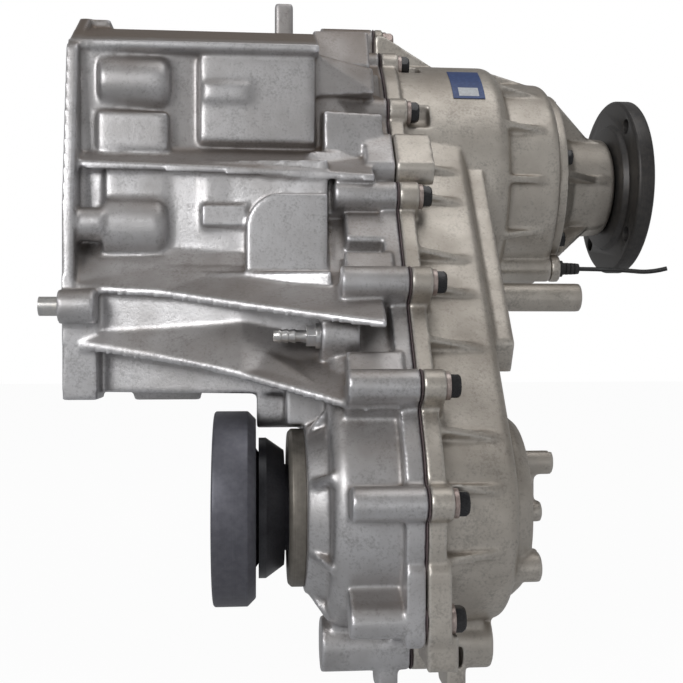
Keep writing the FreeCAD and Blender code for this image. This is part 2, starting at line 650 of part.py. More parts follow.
def box_cavity():
    """Inside of the front box, as wide as its walls allow, with the round throat behind it."""
    high = ROOF_Z - BOX_WALL
    low = BOX_BOTTOM_Z + BOX_WALL + 4
    near = -NEAR_WALL_Y + BOX_WALL
    far = FAR_WALL_Y - BOX_WALL
    upper_near = BOX_WALL - BAY_ONE_REAR_Y
    points = [(upper_near, high), (far, high), (far, low), (near, low), (near, BAY_TWO_Z - BOX_WALL),
              (upper_near, BAY_TWO_Z), (upper_near, SHOULDER_Z - BOX_WALL)]
    rear = NECK_X - BOX_WALL + 4
    throat = disc(rear - 1, FRONT_CAVITY_X + 1, CASE_UPPER_RADIUS - CASE_WALL)
    lever_room = selector_block(SELECTOR_LEVER_OUT + SELECTOR_LEVER + 1.5, -SELECTOR_EYE_RADIUS - 2,
                                LEVER_LENGTH + SELECTOR_HUB_RADIUS + 2, rear - 1, selector_room_end())
    fork_room = selector_block(FORK_TOP + 1.5, -FORK_HALF_WIDTH - 1.5, FORK_HALF_WIDTH + 1.5, rear - 1,
                               FRONT_CAVITY_X + 1)
    return prism_x(points, FRONT_WALL, rear).multiFuse([throat, lever_room, fork_room])


def ring_gear_seat():
    """Ring inside the box that carries the ring gear, with its webs."""
    x0 = PLANET_X - 6
    x1 = PLANET_X + PLANET_WIDTH + 10
    outer = RING_OUTER_RADIUS + RING_SEAT_RIM
    seat = disc(x0, x1, outer)
    webs = [box((x0, x1), (-6, 6), (BOX_BOTTOM_Z + 2, 0)),
            box((x0, x1), (-BAY_ONE_REAR_Y, FAR_WALL_Y - 2), (-5, 5)),
            box((x0, x1), (-6, 6), (0, ROOF_Z - 2))]
    return joined([seat] + webs).cut(disc(x0 - 1, x1 + 1, RING_OUTER_RADIUS))


def rail_lugs():
    """Two lugs of the front housing that hold the shift rail."""
    y, z = RAIL_PLACE
    lugs = []
    for x0 in (RAIL_FRONT_X, RAIL_REAR_X - RAIL_LUG + 2):
        x1 = x0 + RAIL_LUG if x0 == RAIL_FRONT_X else RAIL_REAR_X
        lugs.append(box((x0, x1), (y - 8, y + 8), (z - 2, ROOF_Z - 4)))
        lugs.append(disc(x0, x1, 8, RAIL_PLACE))
    return lugs


def selector_axis():
    """Pivot of the selector shaft on the rail's plane, and its outward direction."""
    turn = math.radians(RAIL_DEG)
    out = V(0, math.cos(turn), math.sin(turn))
    across = V(0, math.sin(turn), -math.cos(turn))
    pivot = V(FORK_X + RANGE_TRAVEL / 2, 0, 0) + across * LEVER_LENGTH
    return pivot, out, across


def selector_cylinder(radius, near_end, far_end):
    """Cylinder on the selector axis, between two distances from the rail side."""
    pivot, out, _ = selector_axis()
    return Part.makeCylinder(radius, far_end - near_end, pivot + out * near_end, out)


def selector_block(out, across_low, across_high, x0, x1):
    """Block on the far wall, squared to the selector axis, from inside the neck out to a distance."""
    turn = math.radians(RAIL_DEG)
    start = RAIL_DISTANCE / 2
    corners = [(start, across_low), (start, across_high), (out, across_high), (out, across_low)]
    points = [(o * math.cos(turn) + a * math.sin(turn), o * math.sin(turn) - a * math.cos(turn))
              for o, a in corners]
    return prism_x(points, x0, x1)


def selector_room_end():
    """Rear end of the room in which the lever swings."""
    swing = LEVER_LENGTH * math.sin(math.radians(SELECTOR_REST_DEG))
    return FORK_X + RANGE_TRAVEL / 2 + swing + SELECTOR_EYE_RADIUS + 0.8


def selector_housing():
    """Bulge of the far wall over the lever."""
    block = selector_block(SELECTOR_LEVER_OUT + SELECTOR_LEVER + SELECTOR_WALL + 4,
                           -SELECTOR_EYE_RADIUS - SELECTOR_WALL - 3,
                           LEVER_LENGTH + SELECTOR_HUB_RADIUS + SELECTOR_WALL + 2, NECK_X - BOX_WALL / 2,
                           selector_room_end() + SELECTOR_WALL)
    long_edges = [e for e in block.Edges if e.BoundBox.XLength > SELECTOR_WALL]
    return block.makeFillet(SELECTOR_WALL - 2, long_edges)


def front_case():
    """Front housing: box, shelves, chain case front half, lower nose, bosses and bores."""
    flange = rounded_prism_x(FLANGE_OUTLINE, 0, FLANGE_RIM, 6)
    chain_part = hull(NECK_X, SEAM_X, CASE_UPPER_RADIUS, CASE_LOWER_RADIUS)
    chain_part = chain_part.makeFillet(9, [e for e in chain_part.Edges if e.BoundBox.XMax < NECK_X + 1])
    rim = hull(SEAM_X - RIM_WIDTH, SEAM_X, RIM_UPPER_RADIUS, RIM_LOWER_RADIUS)
    corner = box((0, FLANGE_CORNER_DEPTH), (-ROOF_HALF_WIDTH, -ROOF_HALF_WIDTH + 22),
                 (ROOF_Z - 12, ROOF_Z + 6))
    low_corner = prism_x([(-138, -105), (-136, -148), (-110, -148), (-110, -105)], 0,
                         FLANGE_CORNER_DEPTH + 1)
    solids = front_box() + [flange, corner, low_corner, chain_part, rim]
    solids += near_shelves() + bay_features() + front_bowl()
    solids += case_bosses(BOSS_FRONT_X, False)
    solids += support(SUPPORT_FRONT_X, SEAM_X, 178.0) + [corner_lug(SEAM_X - RIM_WIDTH, SEAM_X)]
    solids += [near_lobe(LOBE_FRONT_X, SEAM_X), selector_housing()] + boss_pads()
    solids.append(selector_cylinder(SELECTOR_BOSS_RADIUS, SELECTOR_LEVER_OUT + SELECTOR_LEVER + 8,
                                    SELECTOR_BOSS_END))
    pad_end = NECK_X + BARB_SHANK + 6
    solids.append(disc(BARB_SEAT_X, pad_end, BARB_PAD_RADIUS, barb_place()))
    solids.append(inward_web(barb_place(), BARB_SEAT_X, pad_end, BOSS_WEB_REACH, 2 * BARB_PAD_RADIUS))
    body = joined(solids)
    bearing_boss = disc(FRONT_WALL - 1, INPUT_BEARING_X + INPUT_BEARING_WIDTH + 4, RETAINER_PLATE_RADIUS)
    cavity = box_cavity().cut(bearing_boss)
    chain_cavity = hull(FRONT_CAVITY_X, SEAM_X + 1, CASE_UPPER_RADIUS - CASE_WALL,
                        CASE_LOWER_RADIUS - CASE_WALL)
    body = body.cut(cavity.multiFuse([chain_cavity]))
    body = joined([body, ring_gear_seat()] + rail_lugs())
    cuts = [
        disc(-1, RETAINER_PLATE, RETAINER_PLATE_RADIUS),
        disc(0, INPUT_BEARING_X + INPUT_BEARING_WIDTH, INPUT_BEARING_RADIUS),
        disc(0, INPUT_BEARING_X + INPUT_BEARING_WIDTH + 6, INPUT_BEARING_RADIUS - 6),
        disc(FRONT_NOSE_X - 1, FRONT_CAVITY_X + 1, FRONT_BEARING_RADIUS, FRONT_AXIS),
        disc(RAIL_FRONT_X + 2, RAIL_REAR_X - 2, RAIL_RADIUS, RAIL_PLACE),
        disc(-1, DOWEL_DEPTH, DOWEL_SEAT_RADIUS, DOWEL_PLACE),
        disc(-1, DOWEL_MOUTH_DEPTH, DOWEL_RADIUS + DOWEL_MOUTH_GAP, DOWEL_PLACE),
        disc(BARB_SEAT_X - 1, NECK_X + BARB_SHANK, BARB_RADIUS + 1, barb_place()),
        selector_cylinder(SELECTOR_SHAFT_RADIUS + RUNNING_CLEARANCE, SELECTOR_LEVER_OUT + 2,
                          SELECTOR_BOSS_END + 1),
    ]
    cuts += [disc(-1, GEARBOX_TAP_DEPTH, GEARBOX_TAP_RADIUS, place) for place in GEARBOX_TAPS]
    cuts += [disc(RETAINER_PLATE - 1, RETAINER_PLATE + 14, SMALL_BOLT_RADIUS, place)
             for place in input_bolt_places()]
    return body.cut(cuts + bolt_holes())


def barb_place():
    """Place of the breather barb, just outside the flank of the case."""
    wall = side_width(BARB_ALONG, CASE_UPPER_RADIUS, CASE_LOWER_RADIUS)
    return chain_point(BARB_ALONG, wall + BARB_OFF_WALL)


def input_bolt_places():
    """Places of the input retainer screws."""
    return [polar((RETAINER_PLATE_RADIUS + PILOT_LIP_RADIUS) / 2, 36 + 72 * k) for k in range(5)]


def rear_case():
    """Rear half of the chain case with the stepped clutch housing."""
    shell = drafted_hull(REAR_START_X, REAR_WALL_X, CASE_UPPER_RADIUS, CASE_LOWER_RADIUS, REAR_DRAFT)
    shell = shell.makeFillet(6, [e for e in shell.Edges if e.BoundBox.XMin > REAR_WALL_X - 1])
    rim = hull(REAR_START_X, REAR_START_X + RIM_WIDTH, RIM_UPPER_RADIUS, RIM_LOWER_RADIUS)
    big = disc(REAR_START_X, BIG_DRUM_END_X, BIG_DRUM_RADIUS)
    big = big.makeFillet(BIG_DRUM_ROUNDING,
                         [e for e in big.Edges if e.BoundBox.XMin > BIG_DRUM_END_X - 1])
    small = disc(REAR_START_X, SMALL_DRUM_END_X, SMALL_DRUM_RADIUS)
    small = small.makeFillet(SMALL_DRUM_ROUNDING,
                             [e for e in small.Edges if e.BoundBox.XMin > SMALL_DRUM_END_X - 1])
    solids = [shell, rim, big, small] + case_bosses(REAR_START_X, True)
    solids += rear_gussets() + rear_face_features()
    solids += support(REAR_START_X, SUPPORT_REAR_X, 216.0) + [corner_lug(REAR_START_X, BOSS_REAR_X)]
    solids.append(near_lobe(REAR_START_X, LOBE_REAR_X))
    solids.append(disc(REAR_START_X, SMALL_DRUM_END_X, GROMMET_RADIUS + 5, GROMMET_PLACE))
    body = joined(solids)
    cavities = [
        hull(REAR_START_X - 1, REAR_CAVITY_X, CASE_UPPER_RADIUS - CASE_WALL - 1,
             CASE_LOWER_RADIUS - CASE_WALL),
        disc(REAR_START_X - 1, BIG_DRUM_END_X - BIG_DRUM_ROUNDING, BIG_DRUM_RADIUS - DRUM_WALL),
        disc(REAR_START_X, COIL_X + COIL_WIDTH, SMALL_DRUM_RADIUS - DRUM_WALL),
    ]
    body = body.cut(cavities[0].multiFuse(cavities[1:]))
    tail_boss = disc(TAIL_BOSS_X, REAR_CAVITY_X + 1, TAIL_BEARING_RADIUS + CASE_WALL, FRONT_AXIS)
    body = joined([body, tail_boss])
    cuts = [
        disc(COIL_X, REAR_BEARING_X, REAR_BEARING_RADIUS - 5),
        disc(REAR_BEARING_X, SMALL_DRUM_END_X + 1, REAR_BEARING_RADIUS),
        disc(TAIL_BOSS_X - 1, REAR_CAVITY_X, TAIL_BEARING_RADIUS, FRONT_AXIS),
        disc(REAR_WALL_X - 6, REAR_WALL_X + 20, 3, FILL_PLUG_PLACE),
        disc(REAR_WALL_X + 8, REAR_WALL_X + 40, 5, FILL_PLUG_PLACE),
    ]
    cuts += [disc(SMALL_DRUM_END_X - SMALL_BOLT_LENGTH + RETAINER_RIM, SMALL_DRUM_END_X + 1,
                  SMALL_BOLT_RADIUS, place)
             for place in retainer_bolt_places()]
    spot_faces = [disc(seat, seat + 16, CASE_BOLT_WASHER_RADIUS + 1.5, place)
                  for place, seat in bolt_places()]
    return body.cut(cuts + spot_faces + bolt_holes())


def rear_gussets():
    """Tapered gussets between the seam rim and the walls, and between the two drums."""
    solids = []
    for along in NEAR_GUSSETS:
        wall = side_width(along, CASE_UPPER_RADIUS, CASE_LOWER_RADIUS)
        rim = side_width(along, RIM_UPPER_RADIUS, RIM_LOWER_RADIUS) - 1
        profile = [(REAR_START_X, wall - GUSSET_ROOT), (REAR_START_X, rim),
                   (REAR_START_X + RIM_WIDTH, rim),
                   (GUSSET_END_X, wall - REAR_DRAFT + 0.5), (GUSSET_END_X, wall - GUSSET_ROOT)]
        for side in (0, 180):
            solids.append(fin(profile, NEAR_DEG + side, GUSSET_THICKNESS, chain_point(along, 0)))
    crest = [(REAR_START_X, BIG_DRUM_RADIUS - 3), (REAR_START_X, 106), (CREST_SEAT_X, 106),
             (GUSSET_END_X, BIG_DRUM_RADIUS), (GUSSET_END_X, BIG_DRUM_RADIUS - 3)]
    solids.append(fin(crest, 96, GUSSET_THICKNESS))
    low = CASE_LOWER_RADIUS - GUSSET_ROOT
    profile = [(REAR_START_X, low), (REAR_START_X, RIM_LOWER_RADIUS - 1),
               (REAR_START_X + RIM_WIDTH, RIM_LOWER_RADIUS - 1),
               (GUSSET_END_X, CASE_LOWER_RADIUS - REAR_DRAFT + 0.5), (GUSSET_END_X, low)]
    solids += [fin(profile, NEAR_DEG - turn, GUSSET_THICKNESS, FRONT_AXIS) for turn in LOWER_GUSSET_TURNS]
    step_x = BIG_DRUM_END_X - BIG_DRUM_ROUNDING
    profile = [(step_x, SMALL_DRUM_RADIUS - 3), (step_x, BIG_DRUM_RADIUS - 1),
               (step_x + 6, BIG_DRUM_RADIUS - 2),
               (SMALL_DRUM_END_X - SMALL_DRUM_ROUNDING, SMALL_DRUM_RADIUS - 1),
               (SMALL_DRUM_END_X - SMALL_DRUM_ROUNDING, SMALL_DRUM_RADIUS - 3)]
    solids += [fin(profile, DRUM_GUSSET_FIRST_DEG + 360 / DRUM_GUSSETS * k, GUSSET_THICKNESS)
               for k in range(DRUM_GUSSETS)]
    return solids


def tail_cap():
    """Low domed cap over the tail bearing, with its ring of pockets between webs."""
    x0 = REAR_WALL_X - 3
    x1 = REAR_WALL_X + 11
    cap = turned([(x0, 0), (x0, 53), (REAR_WALL_X + 5, 52), (x1, 47), (x1, 0)], FRONT_AXIS)
    groove = ring(REAR_WALL_X + 3, x1 + 1, 44, 29, FRONT_AXIS)
    profile = [(REAR_WALL_X, 20), (REAR_WALL_X, 46), (x1 - 2, 46), (x1 - 2, 20)]
    webs = [fin(profile, 30 + 45 * k, 4, FRONT_AXIS) for k in range(8)]
    return joined([cap.cut(groove)] + webs)


def rear_face_features():
    """Pocketed rib along the chain line, the round rib of the tail bearing, and the plain bosses."""
    outline = [chain_point(40, RAIL_RIB_NEAR), chain_point(192, RAIL_RIB_NEAR - 6),
               chain_point(200, RAIL_RIB_NEAR - RAIL_RIB_DEPTH),
               chain_point(40, RAIL_RIB_NEAR - RAIL_RIB_DEPTH)]
    rib = prism_x(outline, REAR_WALL_X - 2, REAR_WALL_X + RAIL_RIB_HEIGHT)
    pockets = []
    for k in range(3):
        start = 58 + 46 * k
        corners = [(start, RAIL_RIB_NEAR - 10), (start + 38, RAIL_RIB_NEAR - 12),
                   (start + 38, RAIL_RIB_NEAR + 5), (start, RAIL_RIB_NEAR + 5)]
        pockets.append(prism_x([chain_point(a, n) for a, n in corners],
                               REAR_WALL_X + 1, REAR_WALL_X + RAIL_RIB_HEIGHT - 3))
    start_x = REAR_WALL_X - 3
    bosses = [disc(start_x, x1, radius, place) for x1, radius, place in REAR_BOSSES]
    low_x, low_radius, low_place = LOW_REAR_BOSS
    y, z_high = REAR_BOSSES[1][2]
    z_low = REAR_BOSSES[2][2][1]
    return bosses + [
        rib.cut(pockets),
        tail_cap(),
        box((start_x, REAR_BOSSES[2][0] - 4), (y - 2.5, y + 2.5), (z_low, z_high)),
        disc(start_x, REAR_WALL_X + 8, 6.5, FILL_PLUG_PLACE),
        disc(REAR_START_X, low_x, low_radius, low_place),
    ]


def retainer_bolt_places():
    """Places of the output retainer bolts."""
    return [polar(RETAINER_BOLT_CIRCLE, 48 + 360 / RETAINER_BOLTS * k) for k in range(RETAINER_BOLTS)]


def output_retainer():
    """Finned cone behind the clutch housing that holds the rear bearing and the rear seal."""
    rim_x = SMALL_DRUM_END_X + RETAINER_RIM
    cone = turned([(SMALL_DRUM_END_X, 0), (SMALL_DRUM_END_X, RETAINER_RIM_RADIUS),
                   (rim_x, RETAINER_RIM_RADIUS),
                   (rim_x + 1.5, 52), (rim_x + 6, RETAINER_CONE_RADIUS + 5),
                   (rim_x + 14, RETAINER_CONE_RADIUS),
                   (RETAINER_NOSE_X - 2, RETAINER_NOSE_RADIUS),
                   (RETAINER_NOSE_X, RETAINER_NOSE_RADIUS - 2),
                   (RETAINER_NOSE_X, 0)])
    profile = [(SMALL_DRUM_END_X + 1, REAR_BEARING_RADIUS - 2),
               (SMALL_DRUM_END_X + 1, RETAINER_RIM_RADIUS - 1),
               (rim_x, RETAINER_RIM_RADIUS - 1), (RETAINER_CONE_X, RETAINER_CONE_RADIUS + 1),
               (RETAINER_NOSE_X - 3, RETAINER_NOSE_RADIUS),
               (RETAINER_NOSE_X - 3, RETAINER_NOSE_RADIUS - 3),
               (rim_x + 4, REAR_BEARING_RADIUS - 2)]
    fins = [fin(profile, 360 / RETAINER_FINS * k, 5) for k in range(RETAINER_FINS)]
    ear = disc(SMALL_DRUM_END_X, rim_x, GROMMET_RADIUS + 5, GROMMET_PLACE)
    body = joined([cone, ear] + fins)
    seal_x = RETAINER_NOSE_X - 12
    bore = turned([(SMALL_DRUM_END_X - 1, 0), (SMALL_DRUM_END_X - 1, REAR_BEARING_RADIUS - 4),
                   (rim_x + 2, REAR_BEARING_RADIUS - 4), (rim_x + 8, REAR_SEAL_RADIUS - 2),
                   (seal_x - 4, REAR_SEAL_RADIUS - 2),
                   (seal_x, REAR_SEAL_RADIUS - 4), (seal_x, REAR_SEAL_RADIUS),
                   (RETAINER_NOSE_X + 1, REAR_SEAL_RADIUS), (RETAINER_NOSE_X + 1, 0)])
    seats = [disc(rim_x, rim_x + 30, SMALL_BOLT_HEAD_RADIUS + 1, place)
             for place in retainer_bolt_places()]
    holes = [disc(SMALL_DRUM_END_X - 1, rim_x + 1, SMALL_BOLT_RADIUS, place)
             for place in retainer_bolt_places()]
    return body.cut([bore] + seats + holes)


def case_gasket():
    """Thin gasket on the seam, cut away over the cavity."""
    outer = hull(SEAM_X, REAR_START_X, RIM_UPPER_RADIUS, RIM_LOWER_RADIUS)
    inner = hull(SEAM_X - 1, REAR_START_X + 1, CASE_UPPER_RADIUS - CASE_WALL,
                 CASE_LOWER_RADIUS - CASE_WALL)
    pads = []
    for place, _ in bolt_places():
        pads.append(disc(SEAM_X, REAR_START_X, BOSS_RADIUS, place))
        pads.append(inward_web(place, SEAM_X, REAR_START_X, BOSS_WEB_REACH, 2 * BOSS_RADIUS - 2))
    return joined([outer] + pads).cut([inner] + bolt_holes())


def case_bolts():
    """Bolts that hold the two halves of the case together."""
    bolts = [flange_bolt(seat, place, CASE_BOLT_LENGTH - (BOSS_REAR_X - seat))
             for place, seat in bolt_places()]
    return Part.makeCompound(bolts)


def ring_dowel():
    """Split ring dowel that centres the case on the gearbox, thinner where it sits in the flange."""
    tube = turned([(-DOWEL_STAND_OUT, DOWEL_BORE_RADIUS), (-DOWEL_STAND_OUT, DOWEL_RADIUS),
                   (0, DOWEL_RADIUS),
                   (0, DOWEL_SEAT_RADIUS), (DOWEL_DEPTH, DOWEL_SEAT_RADIUS),
                   (DOWEL_DEPTH, DOWEL_BORE_RADIUS)], DOWEL_PLACE)
    slit = box((-DOWEL_STAND_OUT - 1, DOWEL_DEPTH + 1), (DOWEL_PLACE[0] - 0.8, DOWEL_PLACE[0] + 0.8),
               (DOWEL_PLACE[1], DOWEL_PLACE[1] + DOWEL_RADIUS + 1))
    return tube.cut(slit)


def input_retainer():
    """Plate that holds the input bearing and seal, with the pilot lip for the gearbox."""
    plate = turned([(-PILOT_LIP, 0), (-PILOT_LIP, PILOT_LIP_RADIUS), (0, PILOT_LIP_RADIUS),
                    (0, RETAINER_PLATE_RADIUS), (RETAINER_PLATE, RETAINER_PLATE_RADIUS),
                    (RETAINER_PLATE, INPUT_BEARING_RADIUS),
                    (INPUT_BEARING_X - FACE_GAP, INPUT_BEARING_RADIUS),
                    (INPUT_BEARING_X - FACE_GAP, 0)])
    bore = disc(-PILOT_LIP - 1, INPUT_BEARING_X, INPUT_SHAFT_RADIUS + 3)
    seal_bore = disc(-PILOT_LIP - 1, 8, INPUT_SEAL_RADIUS)
    heads = [disc(-1, 3, SMALL_BOLT_HEAD_RADIUS, place) for place in input_bolt_places()]
    shanks = [disc(-1, RETAINER_PLATE + 1, SMALL_BOLT_RADIUS, place) for place in input_bolt_places()]
    return plate.cut([bore, seal_bore] + heads + shanks)


def input_retainer_bolts():
    """Countersunk-depth screws of the bearing plate, with their driving sockets."""
    bolts = []
    for place in input_bolt_places():
        screw = turned([(0.5, 0), (0.5, SMALL_BOLT_HEAD_RADIUS), (3, SMALL_BOLT_HEAD_RADIUS),
                        (3, SMALL_BOLT_RADIUS),
                        (RETAINER_PLATE + 12, SMALL_BOLT_RADIUS), (RETAINER_PLATE + 12, 0)], place)
        bolts.append(screw.cut(hexagon(0, 2.5, 2.6, place)))
    return Part.makeCompound(bolts)


def lip_seal(x0, x1, outer, shaft, axis=MAIN_AXIS):
    """Radial shaft seal with a hollow back and a lip just clear of the shaft."""
    lip = shaft + RUNNING_CLEARANCE
    back = (x0 + x1) / 2
    return turned([(x0, lip + 1), (x0, outer), (x1, outer), (x1, outer - 2), (x0 + 2, outer - 2),
                   (x0 + 2, lip + 3),
                   (x1 - 1, lip + 2), (back + 1, lip), (back, lip)], axis)


def input_shaft():
    """Short shaft that takes the gearbox output spline, with the sun gear and the direct-drive dogs."""
    body = [
        disc(INPUT_SHAFT_X, PLANET_X - 2, INPUT_SHAFT_RADIUS),
        disc(INPUT_BEARING_X + INPUT_BEARING_WIDTH, 44, INPUT_SHAFT_RADIUS + 3),
        prism_x(toothed_outline(SUN_TEETH, GEAR_MODULE * (SUN_TEETH / 2 - 1.2),
                                GEAR_MODULE * (SUN_TEETH / 2 + 0.85),
                                0.60, 0.24, 180 / SUN_TEETH), PLANET_X - 2, SUN_END_X),
        disc(SUN_END_X - 1, INPUT_DOG_END_X, DOG_TIP_RADIUS + 2.8),
    ]
    dogs = toothed_outline(DOG_TEETH, DOG_ROOT_RADIUS + TOOTH_CLEARANCE, DOG_TIP_RADIUS + TOOTH_CLEARANCE,
                           0.62, 0.48)
    spline_root = SPLINE_BORE_RADIUS + 0.6
    spline = toothed_outline(SPLINE_TEETH, spline_root, spline_root + SPLINE_DEPTH, 0.5, 0.4)
    cuts = [disc(INPUT_SHAFT_X - 1, SPLINE_START_X, SPLINE_BORE_RADIUS),
            disc(SPLINE_START_X, SPLINE_BORE_END_X, spline_root),
            prism_x(spline, SPLINE_START_X, SPLINE_BORE_END_X),
            disc(PLANET_X, SUN_END_X, PILOT_BEARING_RADIUS),
            prism_x(dogs, SUN_END_X, INPUT_DOG_END_X + 1)]
    return joined(body).cut(cuts)


def planet_places():
    """Centre and direction of each planet gear."""
    return [(polar(PLANET_CENTRE, 360 * k / PLANET_COUNT), 360 * k / PLANET_COUNT)
            for k in range(PLANET_COUNT)]


def planet_gear(place, turn_deg):
    """Planet gear, in mesh with the sun and the annulus."""
    outline = toothed_outline(PLANET_TEETH, GEAR_MODULE * (PLANET_TEETH / 2 - 1.2),
                              GEAR_MODULE * (PLANET_TEETH / 2 + 0.85), 0.60, 0.24, turn_deg, place)
    gear = prism_x(outline, PLANET_X, PLANET_X + PLANET_WIDTH)
    return gear.cut(disc(PLANET_X - 1, PLANET_X + PLANET_WIDTH + 1,
                         PLANET_PIN_RADIUS + RUNNING_CLEARANCE, place))


def annulus_gear():
    """Fixed ring gear pressed into the seat of the front housing."""
    hole = toothed_outline(RING_TEETH, GEAR_MODULE * (RING_TEETH / 2 - 0.85), RING_ROOT_RADIUS, 0.74,
                           0.38)
    x0 = PLANET_X - 3
    x1 = PLANET_X + PLANET_WIDTH + 3
    return disc(x0, x1, RING_OUTER_RADIUS).cut(prism_x(hole, x0 - 1, x1 + 1))


def annulus_snap_ring():
    """Snap ring that keeps the annulus in its seat."""
    x0 = PLANET_X + PLANET_WIDTH + 3
    ring_body = ring(x0, x0 + 2, RING_OUTER_RADIUS, RING_OUTER_RADIUS - 4)
    return ring_body.cut(box((x0 - 1, x0 + 3), (-6, 6), (0, RING_OUTER_RADIUS + 1)))


def planet_carrier():
    """Two plates joined between the planets, with the low-range dogs on the rear plate."""
    plate_radius = PLANET_CENTRE + PLANET_PIN_RADIUS + 5
    front_x = PLANET_X - 4 - CARRIER_PLATE
    rear = CARRIER_REAR_X + CARRIER_PLATE
    dog_x = INPUT_DOG_END_X + 8
    dog_end = dog_x + DOG_WIDTH + 3
    plates = [
        disc(front_x, front_x + CARRIER_PLATE,
             plate_radius).cut(disc(front_x - 1, rear, INPUT_SHAFT_RADIUS + 1)),
        disc(CARRIER_REAR_X, rear + 1.5, plate_radius),
        disc(rear, dog_end, DOG_TIP_RADIUS + 5),
    ]
    for _, turn_deg in planet_places():
        pillar = disc(front_x + 1, CARRIER_REAR_X + 1, 7,
                      polar(PLANET_CENTRE, turn_deg + 180 / PLANET_COUNT))
        plates.append(pillar)
    dogs = toothed_outline(DOG_TEETH, DOG_ROOT_RADIUS + TOOTH_CLEARANCE,
                           DOG_TIP_RADIUS + TOOTH_CLEARANCE, 0.62, 0.48)
    cuts = [
        disc(CARRIER_REAR_X - 1, INPUT_DOG_END_X + 0.5, DOG_TIP_RADIUS + 4),
        disc(INPUT_DOG_END_X, dog_x, DOG_TIP_RADIUS + 0.8),
        prism_x(dogs, dog_x - 1, dog_end + 1),
    ]
    cuts += [disc(front_x - 1, rear + 2, PLANET_PIN_RADIUS, place) for place, _ in planet_places()]
    return joined(plates).cut(cuts)


def planet_pins():
    """Pins that carry the planet gears."""
    x0 = PLANET_X - 4 - CARRIER_PLATE
    return Part.makeCompound([disc(x0, CARRIER_REAR_X + CARRIER_PLATE, PLANET_PIN_RADIUS, place)
                              for place, _ in planet_places()])


def range_sleeve():
    """Sliding sleeve on the main shaft with its external dogs and the fork groove."""
    half = FORK_THICKNESS / 2 + FACE_GAP
    x0 = SUN_END_X + 3
    dogs = toothed_outline(DOG_TEETH, DOG_ROOT_RADIUS, DOG_TIP_RADIUS, 0.54, 0.42)
    solids = [prism_x(dogs, x0, x0 + DOG_WIDTH), disc(x0, FORK_X + half + 3, DOG_ROOT_RADIUS - 0.2),
              disc(FORK_X - half - 3, FORK_X - half, 30), disc(FORK_X + half, FORK_X + half + 3, 30)]
    return joined(solids).cut(disc(x0 - 1, FORK_X + half + 4, MAIN_SHAFT_RADIUS + RUNNING_CLEARANCE))


def range_fork():
    """Fork in the sleeve's groove, with its hub on the rail and the slot for the lever pin."""
    x0 = FORK_X - FORK_THICKNESS / 2
    x1 = FORK_X + FORK_THICKNESS / 2
    inner = DOG_ROOT_RADIUS + 0.6
    outer = 35
    turn = math.radians(RAIL_DEG)
    side = (-math.sin(turn), math.cos(turn))

    def at(out, across):
        return (out * math.cos(turn) + across * side[0], out * math.sin(turn) + across * side[1])

    open_side = prism_x([at(-1, -60), at(-1, 60), at(-60, 60), at(-60, -60)], x0 - 1, x1 + 1)
    arms = ring(x0, x1, outer, inner).cut(open_side)
    half = FORK_HALF_WIDTH
    stem = prism_x([at(30, -14), at(30, 14), at(RAIL_DISTANCE, half), at(RAIL_DISTANCE, -half)], x0, x1)
    hub = disc(FORK_X - 13, FORK_X + 12, 9, RAIL_PLACE)
    top = prism_x([at(RAIL_DISTANCE, -half), at(RAIL_DISTANCE, half), at(FORK_TOP, half),
                   at(FORK_TOP, -half)],
                  FORK_X - FORK_TOP_HALF, FORK_X + FORK_TOP_HALF)
    slot_half = SELECTOR_PIN_RADIUS + 0.2
    slot = prism_x([at(FORK_TOP - 6, -9), at(FORK_TOP - 6, 9), at(FORK_TOP + 1, 9), at(FORK_TOP + 1, -9)],
                   FORK_X - slot_half, FORK_X + slot_half)
    bore = disc(FORK_X - 14, FORK_X + 13, RAIL_RADIUS + RUNNING_CLEARANCE, RAIL_PLACE)
    return joined([arms, stem, hub, top]).cut([slot, bore])


def selector_lever():
    """Cranked lever on the selector shaft, with the pin that moves the fork."""
    pivot, out, across = selector_axis()
    rest = math.radians(SELECTOR_REST_DEG)
    tip = pivot - V(math.sin(rest), 0, 0) * LEVER_LENGTH - across * (math.cos(rest) * LEVER_LENGTH)
    hub = Part.makeCylinder(SELECTOR_HUB_RADIUS, SELECTOR_LEVER, pivot + out * SELECTOR_LEVER_OUT, out)
    eye = Part.makeCylinder(SELECTOR_EYE_RADIUS, SELECTOR_LEVER, tip + out * SELECTOR_LEVER_OUT, out)
    pin_start = FORK_TOP - 5.5
    pin = Part.makeCylinder(SELECTOR_PIN_RADIUS, SELECTOR_LEVER_OUT + 1 - pin_start,
                            tip + out * pin_start, out)
    arm_side = (tip - pivot).normalize().cross(out) * SELECTOR_EYE_RADIUS
    points = [pivot + arm_side, tip + arm_side, tip - arm_side, pivot - arm_side]
    points = [p + out * SELECTOR_LEVER_OUT for p in points]
    arm = Part.Face(Part.makePolygon(points + points[:1])).extrude(out * SELECTOR_LEVER)
    bore = selector_cylinder(SELECTOR_SHAFT_RADIUS, SELECTOR_LEVER_OUT - 1,
                             SELECTOR_LEVER_OUT + SELECTOR_LEVER + 1)
    return joined([hub, eye, pin, arm]).cut(bore)


def selector_shaft():
    """Shaft through the far wall, stepped down at its outer end."""
    shaft = selector_cylinder(SELECTOR_SHAFT_RADIUS, SELECTOR_LEVER_OUT, SELECTOR_BOSS_END)
    stub = selector_cylinder(SELECTOR_STUB_RADIUS, SELECTOR_BOSS_END - 1,
                             SELECTOR_BOSS_END + SELECTOR_STUB)
    return joined([shaft, stub])


